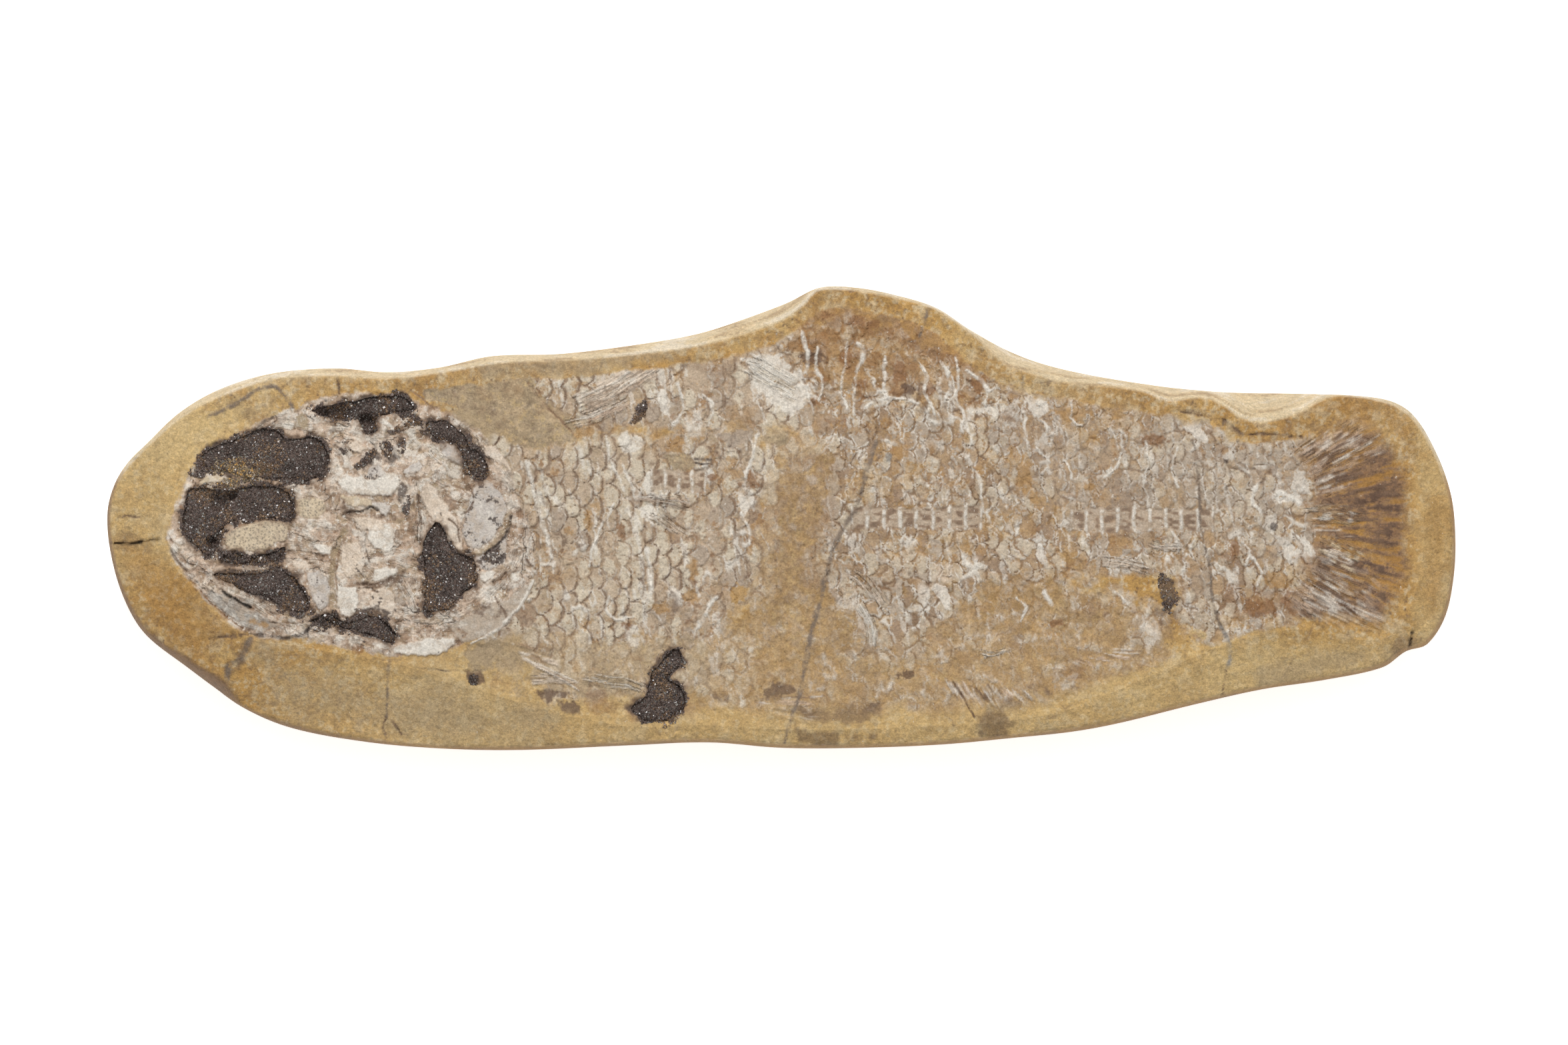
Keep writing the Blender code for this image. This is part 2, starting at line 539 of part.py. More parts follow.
def add_crystals(number, name, hollow):
    """A crust of flat-faced crystals that lines one hollow."""
    crust = Solid()
    edge = shift(hollow, GAP)
    underside = hollow_floor(hollow) + GAP
    tips = grid(edge, CRYSTAL_GRAIN, CRYSTAL_GRAIN / 3, 40 + number)
    plan, faces = triangulate(tips, (edge,), edge, ())
    chance = np.random.default_rng(70 + number)
    tall = underside + CRYSTAL_BED + chance.uniform(0, 1, len(plan)) ** 2 * (CRYSTAL_TALL - CRYSTAL_BED)
    brim = underside + CRYSTAL_BED + np.resize(CRYSTAL_BRIM, len(edge))
    at_edge = np.linalg.norm(plan[:, None] - edge[None], axis=2)
    heights = np.where(at_edge.min(axis=1) < WELD, brim[at_edge.argmin(axis=1)], tall)
    crust.sheet(plan, faces, heights)
    crust.wall(edge, np.full(len(edge), underside), brim)
    plan, faces = triangulate([], (edge,), edge, ())
    crust.sheet(plan, faces, np.full(len(plan), underside))
    crust.finish("crystals_" + name, "crystals")


def main():
    for item in list(bpy.data.objects):
        bpy.data.objects.remove(item, do_unlink=True)
    add_slab()
    add_fish()
    for number, (name, hollow) in enumerate(HOLLOW_LOOPS.items()):
        add_crystals(number, name, hollow)


main()
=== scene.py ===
"""Fossil fish slab: the finished looks of a split limestone nodule with a whole fish in its face.

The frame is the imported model: +X points to the tail, +Y to the fish's back and +Z out of the
fossil face. Points and sizes in the tables are millimetres in that frame, and an outline or a line
is a flat row of x and y in turn; meshes are in metres.
"""
import math
from functools import partial

import bpy
import numpy as np
from bpy.props import FloatProperty, FloatVectorProperty, PointerProperty
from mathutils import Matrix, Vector
from mathutils.geometry import delaunay_2d_cdt


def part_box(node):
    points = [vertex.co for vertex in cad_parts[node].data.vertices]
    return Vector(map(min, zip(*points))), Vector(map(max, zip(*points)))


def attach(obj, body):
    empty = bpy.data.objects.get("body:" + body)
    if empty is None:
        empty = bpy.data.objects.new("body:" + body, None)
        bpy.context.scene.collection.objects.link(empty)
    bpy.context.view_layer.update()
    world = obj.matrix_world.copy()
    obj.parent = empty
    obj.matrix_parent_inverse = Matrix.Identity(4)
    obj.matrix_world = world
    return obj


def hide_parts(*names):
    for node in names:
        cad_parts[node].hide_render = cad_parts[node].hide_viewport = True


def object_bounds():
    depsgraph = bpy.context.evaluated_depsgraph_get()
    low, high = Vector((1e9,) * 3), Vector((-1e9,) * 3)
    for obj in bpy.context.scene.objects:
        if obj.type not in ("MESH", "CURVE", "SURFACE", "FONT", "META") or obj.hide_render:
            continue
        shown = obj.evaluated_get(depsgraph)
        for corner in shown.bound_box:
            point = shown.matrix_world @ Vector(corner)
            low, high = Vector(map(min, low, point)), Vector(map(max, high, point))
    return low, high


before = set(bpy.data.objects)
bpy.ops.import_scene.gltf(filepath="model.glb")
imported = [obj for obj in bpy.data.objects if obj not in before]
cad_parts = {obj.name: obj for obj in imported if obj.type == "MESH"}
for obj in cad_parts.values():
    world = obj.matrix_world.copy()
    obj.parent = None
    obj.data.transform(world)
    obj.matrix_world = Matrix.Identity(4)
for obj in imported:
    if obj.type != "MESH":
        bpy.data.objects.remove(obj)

bl_info = {
    "name": "Fossil Fish Slab",
    "version": (1, 0, 0),
    "blender": (4, 5, 0),
    "location": "View3D > Sidebar > Fossil",
    "description": "Dresses a split limestone nodule with a whole fossil fish in its face",
    "category": "Add Mesh",
}

MM = 0.001
CAD_BOUNDS = [list(corner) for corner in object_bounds()]
CAD_TOP = CAD_BOUNDS[1][2] / MM
FISH_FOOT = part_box("fish")[0][2] / MM
ROUGH = 1.0      # coarser points while trying things out


# ---------------------------------------------------------------- the slab's own shape, as built

FACE_LEVEL = 41.0
BODY_BULGE = 4.0
BULGE_CENTRE = (0.0, -8.0)
BULGE_REACH = (262.0, 92.0)
MARGIN_FALL = 4.0
MARGIN_WIDTH = 24.0
BED_LEVEL = 27.0
RIM_STEP, RIM_SLOPE, DEEPEST_RIM = 4.0, 3.2, 24.0
BASE_INSET = 36.0
UNDERSIDE_CURVE = 2.3
HOLLOW_DEPTH = 7.0
STONE_LUMP = 0.9
BOX_CLEAR = 0.2         # how far the looks stay inside the built shape's widest line

GIRTH = (
    -260, 3, -259, -12, -254, -30, -246, -44, -230, -57, -210, -71.5, -190, -80.5, -160, -86.2, -130, -88.8,
    -100, -89.3, -60, -87.6, -28, -86.4, 0, -88.5, 30, -88.5, 62, -87.2, 90, -84.6, 112, -82.3, 130, -79,
    160, -71.6, 185, -66, 210, -62.2, 232, -57.4, 241, -51.2, 249, -48.6, 256, -38, 259.4, -22, 260, -6,
    258.2, 10, 252, 27, 243, 41, 232, 46.4, 205, 48.4, 170, 49.2, 145, 51.6, 120, 55.6, 100, 60.4, 85, 66.4,
    72, 73.6, 60, 81.4, 46, 86, 30, 89.2, 15, 89.4, 2, 83.6, -14, 77.6, -32, 71.8, -55, 67.6, -85, 63.9,
    -112, 63, -132, 58.6, -152, 56.8, -172, 58.3, -196, 56.4, -216, 50.6, -232, 41.4, -245, 29, -252, 22,
    -257, 14)

FACE_EDGE = (
    -257.6, 3, -256.6, -12, -251.6, -29, -243, -43, -233, -50.4, -224, -56, -213, -62.6, -208, -70.6, -189,
    -78.4, -160, -84.2, -130, -86.8, -100, -87.2, -60, -85.4, -28, -84.2, 0, -86.2, 30, -86.4, 62, -85, 90,
    -82.4, 112, -80, 130, -76.8, 160, -69.4, 185, -63.8, 210, -60, 230, -55.4, 239.5, -49, 247, -46.8,
    253.6, -37, 257, -22, 257.6, -6, 255.8, 9.4, 249.8, 26, 241, 39.2, 231, 44.4, 214, 46.8, 207, 44.5, 198,
    39.6, 184, 36.4, 176, 38.4, 169, 43.4, 162, 46, 148, 44.8, 140, 48, 126, 50.2, 110, 51.6, 96, 55.2, 86,
    58.6, 77, 66.8, 68, 74.2, 58.6, 80.4, 45, 84, 30, 87, 14.4, 87.4, 9.6, 82.2, 0, 75.4, -14, 70.6, -32,
    65.8, -55, 62.8, -85, 60.2, -108, 59.4, -132, 55.4, -152, 53.4, -172, 54.6, -196, 53, -216, 46.2, -230,
    38.8, -243, 27.6, -250, 20.6, -255, 13)

FISH = (
    -238, -8, -234.6, 6, -229.6, 19, -218, 32, -199, 41.6, -180, 47.4, -160, 49.8, -138, 50.4, -112, 54,
    -85, 55.4, -60, 58, -35, 61, -14, 65.6, 2, 71, 11, 79, 22, 82, 40, 79.6, 54, 75.6, 66, 67.4, 80, 55.6,
    96, 50, 118, 45.8, 140, 42, 158, 40.4, 168, 37.4, 178, 30.6, 192, 30.6, 206, 35.6, 220, 40.4, 232, 38.6,
    241, 26, 246, 10, 247, -8, 245, -24, 240, -38, 232, -46, 218, -46, 200, -42.6, 182, -45, 164, -51, 146,
    -58.6, 128, -66.4, 110, -73.4, 88, -77.6, 60, -79.6, 30, -80.8, 0, -81, -30, -79.4, -54, -80, -76, -77,
    -96, -72, -118, -65, -140, -58, -162, -53.2, -186, -49, -205, -46, -219, -35.6, -230, -23)

HOLLOWS = {
    "orbit": (-223, 20.6, -222.4, 25.4, -212, 29.4, -202, 34, -196, 34.6, -190, 30.4, -181, 31.4, -175.5,
        28, -174.5, 20, -180, 14.6, -192, 15, -204, 15.6, -215, 18),
    "snout": (-226, 12, -214, 11, -201, 13, -191, 11.4, -187, 6, -188, 0.4, -200, 0, -210, -1, -216.4, -5.6,
        -216, -11.4, -221, -14, -227.6, -8, -230, -1, -228.6, 6),
    "upper_jaw": (-214.6, -12.8, -206, -14, -198, -13.4, -191, -11, -192, -14.6, -200, -16.8, -213, -16.4),
    "lower_jaw": (-218, -21.4, -207, -21, -199, -20.6, -195, -18.2, -189.4, -21, -184.4, -26.6, -182, -35.4,
        -188, -35.6, -197, -31.6, -209, -26),
    "throat": (-182, -39.4, -174, -37, -166, -39.4, -158, -37.4, -151.4, -39.6, -148.6, -44.4, -150, -47.4,
        -158, -44.6, -170, -41.6),
    "skull_roof": (-181, 41.6, -171, 44.4, -160, 46.4, -151, 47.6, -144, 46.4, -141, 42.4, -148, 40.4, -155,
        39.6, -155.4, 34, -160, 33, -163.4, 38.4, -170, 38.4),
    "nape": (-136, 36, -128.6, 38, -123, 33, -118.6, 27, -113, 21, -113.4, 16, -119, 17, -121.6, 23, -126,
        29.4, -133, 31),
    "gill_cover": (-133.6, -1.6, -129, -4, -126, -12, -118, -15.4, -117.6, -25, -125, -31, -130, -35.6,
        -137, -35, -136.6, -24, -137.6, -12),
    "belly": (-40, -50, -38.4, -56, -44, -61, -37, -67, -37.6, -73, -43, -77.4, -53, -77.6, -57.6, -73, -52,
        -68, -50, -60, -46, -54),
}


# ---------------------------------------------------------------- colours

STAGE_LIGHT = 0.88      # colours are a little darker than they look, because the stage is bright


def srgb(red, green, blue):
    """A colour as it looks on a screen, turned into the linear values that materials take."""
    return tuple(STAGE_LIGHT * ((c + 0.055) / 1.055) ** 2.4 for c in (red, green, blue))


COLOURS = {
    "ochre": srgb(0.76, 0.60, 0.355),
    "ochre_deep": srgb(0.69, 0.51, 0.265),
    "ochre_pale": srgb(0.86, 0.745, 0.53),
    "sand": srgb(0.84, 0.76, 0.62),
    "tan": srgb(0.68, 0.595, 0.475),
    "tan_grey": srgb(0.68, 0.60, 0.48),
    "bone": srgb(0.82, 0.72, 0.63),
    "bone_pale": srgb(0.905, 0.835, 0.755),
    "cream": srgb(0.85, 0.775, 0.655),
    "white": srgb(0.93, 0.90, 0.85),
    "blue_white": srgb(0.80, 0.765, 0.73),
    "slate": srgb(0.58, 0.56, 0.53),
    "scale": srgb(0.765, 0.685, 0.595),
    "plate": srgb(0.845, 0.79, 0.70),
    "earth": srgb(0.67, 0.54, 0.36),
    "scale_grey": srgb(0.68, 0.615, 0.55),
    "lilac": srgb(0.73, 0.67, 0.60),
    "umber": srgb(0.46, 0.365, 0.29),
    "brown": srgb(0.59, 0.475, 0.37),
    "rust": srgb(0.56, 0.395, 0.245),
    "orange": srgb(0.70, 0.545, 0.345),
    "wine": srgb(0.37, 0.27, 0.21),
    "dark": srgb(0.32, 0.27, 0.245),
    "black": srgb(0.06, 0.05, 0.045),
    "vein": srgb(0.50, 0.44, 0.385),
}

# How much each colour is bone, with its faint sheen. Colours that aren't named here have 0.6.
SHEEN = {"ochre": 0, "ochre_deep": 0, "ochre_pale": 0, "sand": 0, "earth": 0.1, "tan": 0.1, "vein": 0.2,
         "plate": 1, "scale": 1, "scale_grey": 1, "lilac": 1, "blue_white": 0.9, "bone_pale": 0.8}


# ---------------------------------------------------------------- the skull

# Bundles of bone fibres: crest, half width, width of a strand, rise, pale and dark colour
SKULL_FIBRES = (
    ((-194, 12.4, -186, 13.2, -177, 12.6), 1.6, 1.4, 0.9, "bone_pale", "brown"),
    ((-190, 8.4, -182, 9.6, -174, 9), 1.6, 1.5, 0.6, "tan", "umber"),
    ((-190, -3, -182, -4.4, -173, -5), 3.2, 1.5, 0.9, "bone_pale", "brown"),
    ((-192, -9, -182, -9.8, -173, -11), 2.6, 1.4, 0.9, "bone_pale", "brown"),
    ((-190, -13.4, -181, -14, -173, -13.6), 2.2, 1.4, 0.8, "bone", "umber"),
    ((-200, -16.8, -187, -17.4, -176, -19), 2, 1.4, 0.7, "bone_pale", "brown"),
    ((-236.4, -8, -231, -15, -222, -22.6, -212, -28.6, -200, -34, -190, -38.6, -183, -41.4), 3.4, 1.5, 1.7,
     "bone_pale", "umber"),
    ((-228, -16, -220, -19, -213, -22), 1.8, 1.5, 0.6, "bone", "umber"),
    ((-226, -26, -216, -33, -206, -39, -194, -43), 2.6, 1.9, 0.3, "slate", "brown"),
    ((-182, -42, -172, -45, -160, -47.6, -149, -50), 2.6, 1.5, 1.3, "bone_pale", "brown"),
    ((-187, -46, -178, -48.6, -168, -51), 1.2, 1.4, 0.6, "bone", "brown"),
    ((-149, -37, -138, -37.6, -128, -37.4), 2.4, 1.5, 1.2, "bone_pale", "umber"),
    ((-147, -41.6, -137, -42, -126, -41), 2.4, 1.5, 1.1, "bone", "umber"),
    ((-146.6, 8, -147.4, 0, -148.6, -9), 2.4, 1.4, 0.8, "bone_pale", "brown"),
    ((-141.4, 12, -141.6, 2, -140.4, -8, -139.6, -14), 2, 1.4, 1.2, "bone", "umber"),
    ((-137.4, 12, -137.2, 2, -138.2, -8), 1.6, 1.4, 0.8, "white", "bone"),
    ((-173.6, 28, -172.8, 20, -174, 12, -172.8, 3), 2.2, 1.5, 1, "bone_pale", "brown"),
    ((-115, 28, -108, 21, -103, 13, -100, 4), 3, 1.5, 1.3, "bone_pale", "umber"),
    ((-100, 4, -101, -8, -103, -17, -109, -25, -118, -32, -129, -38), 3.4, 1.5, 1.3, "bone_pale", "brown"),
    ((-97, 6, -96.6, -8, -98, -20), 2.4, 1.5, 1.1, "white", "tan"),
    ((-92.6, 6, -92.4, -8, -94, -20), 2.4, 1.6, 0.7, "bone", "brown"),
    ((-228, 16, -222, 24.6, -212, 30, -204, 33.6, -196, 38.6), 1.5, 1.4, 0.7, "brown", "dark"),
    ((-192, 37, -180, 35.4, -168, 34), 3.4, 1.7, 0.6, "bone_pale", "tan"),
    ((-179, 39.6, -170, 37.4, -163, 35), 2, 1.5, 0.7, "bone", "umber"),
    ((-160, 31, -150, 32.4, -142, 34), 2.4, 1.5, 0.9, "bone_pale", "umber"),
    ((-143, 31, -137, 27, -131, 22), 3, 1.6, 0.7, "cream", "brown"),
    ((-170, 30, -164, 27, -159, 30), 2, 1.5, 0.8, "bone_pale", "umber"),
    ((-150, 23, -149.4, 29), 2.4, 1.5, 1, "bone", "umber"),
    ((-135, 19, -128, 17.6, -119, 12.6), 1.7, 1.4, 0.8, "cream", "tan"),
    ((-170, -13, -165, -16, -160, -21), 4, 1.7, 0.6, "bone_pale", "brown"),
    ((-170, 3, -162, 1, -153, 0), 2.2, 1.5, 0.6, "bone", "umber"),
    ((-156, -14, -148, -15, -141, -17), 3.4, 1.6, 0.8, "tan", "brown"),
    ((-145, -24, -142, -30, -140, -35), 3, 1.6, 1, "bone", "umber"),
    ((-124, 37, -118, 31, -114, 25.6), 1.2, 1.4, 0.7, "white", "tan"),
    ((-133, 12, -127, 8, -121, 4), 3.2, 2.2, 0.2, "tan", "brown"),
    ((-178, -22, -177, -28, -178, -34), 3.2, 1.8, 0.4, "bone_pale", "brown"),
)

# Smooth plates of bone: colour, rise, how dark-speckled (below 0: finely pored), outline
SKULL_PLATES = (
    ("cream", 0.7, -1, (-214, -6.5, -212, -4.6, -208, -3.6, -204, -1.8, -199, -0.8, -193, -1, -189.6, -1.6,
     -189.4, -5, -191, -8.6, -195, -9.4, -198, -11.6, -203, -12, -208, -12.8, -212, -11.6, -214, -9)),
    ("cream", 0.4, -1, (-187, 7, -181, 8, -176, 7, -175, 3, -178, 0.6, -184, 0.8, -187, 3)),
    ("blue_white", 0.8, 0.5, (-160, 16, -158, 20, -155, 21, -152.4, 18, -153, 15, -157, 14.6)),
    ("white", 0.8, 0.1, (-170, 14, -167, 16.6, -161, 16, -156, 15, -152, 17.6, -147.6, 17, -146, 13, -149,
     9.6, -154, 9, -160, 9.6, -166, 9, -169, 11.5)),
    ("cream", 0.7, 0, (-169, 8.6, -163, 8.8, -158, 7, -155, 5, -160, 4.6, -166, 5.4)),
    ("blue_white", 0.7, 0.1, (-145, 18, -143, 21, -139, 22.4, -137.4, 20, -139, 18.4, -143, 17.6)),
    ("blue_white", 0.6, 0.2, (-157, 6, -153, 7, -150, 5, -152, 1, -155, 3.4)),
    ("white", 0.9, 0, (-159, -3, -155, -1.6, -150, -3, -148.6, -7, -150, -11.6, -152, -12.8, -156, -11,
     -158.6, -8)),
    ("white", 0.8, 0.1, (-158, -24.4, -156.6, -19.6, -152, -18.4, -147.6, -19, -148, -21.6, -152, -23, -155,
     -24)),
    ("white", 1, 0.28, (-172.4, -26.6, -170, -25, -167, -26.2, -163.4, -26, -162.6, -31, -163.4, -36.4,
     -166, -38, -169, -37, -170.6, -33, -171, -29)),
    ("bone_pale", 0.7, 0.5, (-158, -28, -154, -26.4, -149.4, -27, -148.4, -33, -150, -37, -155, -36.4, -158,
     -33)),
    ("blue_white", 0.4, 0.45, (-182, -21, -178, -20, -175, -22, -173.6, -28, -174, -34, -177, -35, -180,
     -31, -181.6, -26)),
    ("white", 0.6, 0.2, (-180, -10.4, -176, -9.6, -172.6, -11, -173, -13.6, -177, -13.4)),
    ("bone_pale", 0.5, 0.2, (-188, -16, -182, -16.4, -180, -18, -184, -19, -188, -18)),
    ("bone_pale", 0.6, 0.35, (-169, -10, -163, -9, -160, -14, -161, -21, -166, -23, -169, -20)),
    ("bone_pale", 0.6, 0.3, (-164, 0, -159, 0.6, -154, -0.6, -153, -3.4, -158, -4.6, -163, -3.6)),
    ("bone_pale", 1.2, 0.1, (-139, 9, -136, 14, -134, 13.6, -131, 8, -127.6, 4, -124.4, -2, -123, -8, -122,
     -12, -124, -13, -126.4, -8, -130, -3.6, -133, -1, -135, 1.4, -136.6, 4)),
    ("blue_white", 0.9, 0.2, (-132, 30.6, -127, 29, -122, 26, -120.6, 23, -123, 20.6, -127, 22, -131, 25)),
    ("bone_pale", 0.8, 0, (-116, 29, -110, 27.4, -105, 22, -104, 18.6, -108, 21, -113, 24)),
    ("blue_white", 1, 0.6, (-121, 1, -119, 10, -117, 14.6, -111, 13.6, -106.6, 9, -105.4, 3, -107.6, -3,
     -111, -8, -116, -11.4, -121, -10.6, -122.4, -5)),
    ("blue_white", 0.4, 0.85, (-118.6, -15, -113, -13, -108, -8, -105.6, -3.6, -105.4, -11, -106.4, -17,
     -112, -19.6, -118, -18)),
    ("white", 0.6, 0.1, (-116, -20, -110, -20.6, -110.6, -23, -114, -24.6, -116, -23)),
    ("white", 0.9, 0, (-150, -50.4, -146, -48, -139, -46.8, -133, -45.4, -126, -46, -125.4, -48.4, -128.4,
     -51, -136, -52.6, -144, -52)),
    ("white", 0.6, 0.1, (-157, -48, -152, -47.4, -151, -49.6, -155, -50.4)),
    ("lilac", 0.2, 0.1, (-128, -41, -118, -36.6, -112, -33, -105, -31, -98, -25, -96, -26, -99, -33, -106,
     -39.6, -114, -45, -123, -47.6)),
    ("white", 0.4, 0, (-104, -21, -101, -20.6, -101, -23.4, -103.6, -24)),
    ("cream", 0.7, 0, (-225, 13, -221, 16, -217, 17, -213.6, 15.6, -217, 14.4, -221, 14)),
    ("ochre_pale", 0.8, 0, (-216, 19.4, -212, 18.6, -208.6, 16.4, -211, 15.8, -214, 17.4)),
    ("bone_pale", 0.6, 0, (-216, 26.4, -213, 27.6, -211.6, 25, -213, 23.6)),
    ("slate", 0.2, 0.2, (-222, -26, -214, -29.6, -206, -33.6, -198, -37.6, -194, -41, -200, -43.6, -207,
     -41, -214, -36, -220, -30)),
    ("bone", 0.5, 0, (-218, -18.6, -213, -17.6, -208, -18.6, -207, -21, -212, -21.4, -217, -20.6)),
    ("tan_grey", 0.4, 0, (-187, 35, -186, 39.6, -184, 41, -182, 38, -182.6, 34.6)),
    ("bone", 0.4, 0, (-194, 31.6, -191, 34.6, -186, 34.4, -183, 32, -186, 30, -190, 30.6)),
    ("white", 0.8, 0.2, (-157, 38, -152, 36, -149, 34, -150, 36.4, -155, 40, -158, 42)),
    ("white", 0.6, 0, (-168, 22.6, -166, 23, -165.6, 20, -168.4, 20)),
    ("bone_pale", 0.6, 0.1, (-167, 29, -163, 29.6, -159.4, 27, -162, 25.6, -166, 26.4)),
)

# Rods, edges and grooves on the skull: colour, half width, rise, points
SKULL_LINES = (
    ("dark", 0.5, -0.9, (-168, 1.2, -165.6, 3, -161, 2.8, -158, 4.6, -155, 3.4)),
    ("tan", 1.3, 1.2, (-104.4, 3, -105.8, -3, -109, -8, -114, -12, -121, -14)),
    ("dark", 0.7, -0.6, (-103.8, 1, -105, -4.6, -108.4, -9.6, -114, -13.6)),
    ("umber", 0.35, -0.4, (-122, 14, -119, 11, -118.2, 7, -120, 3.6, -122.6, 1.4)),
    ("brown", 0.35, -0.3, (-131, 11.6, -126, 12.8, -122, 11)),
    ("brown", 0.35, -0.3, (-129, 9, -124, 6, -120, 7)),
    ("tan", 1.2, -0.8, (-168, -5, -171.4, -12, -172.6, -22, -172, -37)),
    ("brown", 0.4, -0.5, (-170.2, -12, -171.2, -22, -170.8, -30)),
    ("umber", 0.7, -0.7, (-163, -24.8, -156, -25.2, -151, -23.8, -147.4, -21.2, -145, -20.6)),
    ("umber", 0.6, -0.7, (-162, -27, -158, -26.6, -155, -28)),
    ("umber", 0.4, -0.5, (-98, -14.6, -97, -17, -94.4, -19.4)),
    ("umber", 0.4, -0.4, (-110, -30, -107.6, -34, -106, -37, -105, -40)),
    ("white", 0.55, 0.6, (-95.6, -24, -98, -30, -104, -37.4, -110, -43, -119, -48)),
    ("rust", 0.35, -0.4, (-230, -20, -224, -27, -219, -32.4, -214, -37, -207, -42)),
    ("dark", 0.8, -0.8, (-206, -44, -196, -45.4, -188, -46, -184, -44, -180, -41)),
    ("umber", 0.6, -0.8, (-237, -6, -236, -10, -231, -17.6, -226, -22)),
    ("black", 0.5, -0.9, (-216, -27, -210, -31, -204, -34)),
    ("umber", 0.45, -0.6, (-139.4, 9, -138.6, 0, -138.8, -10)),
    ("umber", 0.4, -0.5, (-128, 0, -124.6, -3, -123.4, -9)),
    ("rust", 0.6, 0.1, (-231, 5, -230, 2, -230, -2)),
    ("dark", 0.4, -0.3, (-141, -57.4, -136, -57.6, -130, -58.4, -124, -58)),
    ("umber", 0.5, -0.6, (-176, 30, -175, 22, -176.6, 14)),
)

# Stains, shadows and small dark or bright marks: colour, softness, raggedness, strength, outline
SKULL_STAINS_AND_SHADOWS = (
    ("dark", 1.6, 2.4, 0.55, (-164, 20, -158, 27, -152, 31, -147, 29, -146, 22, -150, 20, -156, 23, -161,
     18)),
    ("dark", 1, 1.6, 0.6, (-147, 31, -145, 31, -144, 24, -147, 24)),
    ("dark", 1, 1.6, 0.55, (-146, 15, -143.6, 16, -144, 8, -147, 5, -148.6, 8)),
    ("umber", 1.4, 2.4, 0.6, (-178, 4, -168, 5, -158, 4, -154, 1.6, -162, 0.6, -172, 2)),
    ("umber", 1.4, 2, 0.5, (-172, 30, -166, 31, -164, 26, -170, 24)),
    ("umber", 1, 1.6, 0.7, (-162, -24.6, -154, -25, -146, -21.6, -144, -23.6, -152, -27, -160, -27.6)),
    ("dark", 1, 1.6, 0.8, (-166, -34, -158, -33, -148, -36, -152, -39, -163, -37.6)),
    ("dark", 1, 1.4, 0.7, (-224, 28.4, -214, 31, -210, 29.4, -214, 27, -222, 25)),
    ("brown", 1.4, 2, 0.6, (-145, 2, -142, 3, -140.6, -6, -143, -8)),
    ("umber", 1.4, 2.2, 0.5, (-122, -36, -112, -32, -104, -36, -110, -38.6)),
    ("orange", 1.6, 2.2, 0.5, (-205, -39, -198, -38, -196, -41.6, -202, -42.4)),
    ("brown", 1.6, 2.4, 0.5, (-134, -42, -124, -40, -122, -44, -132, -46)),
    ("rust", 1.2, 2, 0.5, (-165, -49.6, -160, -49.4, -160, -53.6, -164, -53.4)),
    ("umber", 1, 1.4, 0.7, (-121, -59, -115, -58, -113, -63, -119, -64.6)),
    ("tan", 2, 2.4, 0.7, (-122, -52, -108, -46, -106, -58, -118, -60)),
    ("umber", 1, 1.6, 0.75, (-95, -65, -86, -65, -80, -67, -88, -70, -94, -68.6)),
    ("umber", 1, 1.6, 0.7, (-86, -70, -79, -70, -76, -76, -84, -79)),
)


# ---------------------------------------------------------------- the scaled body

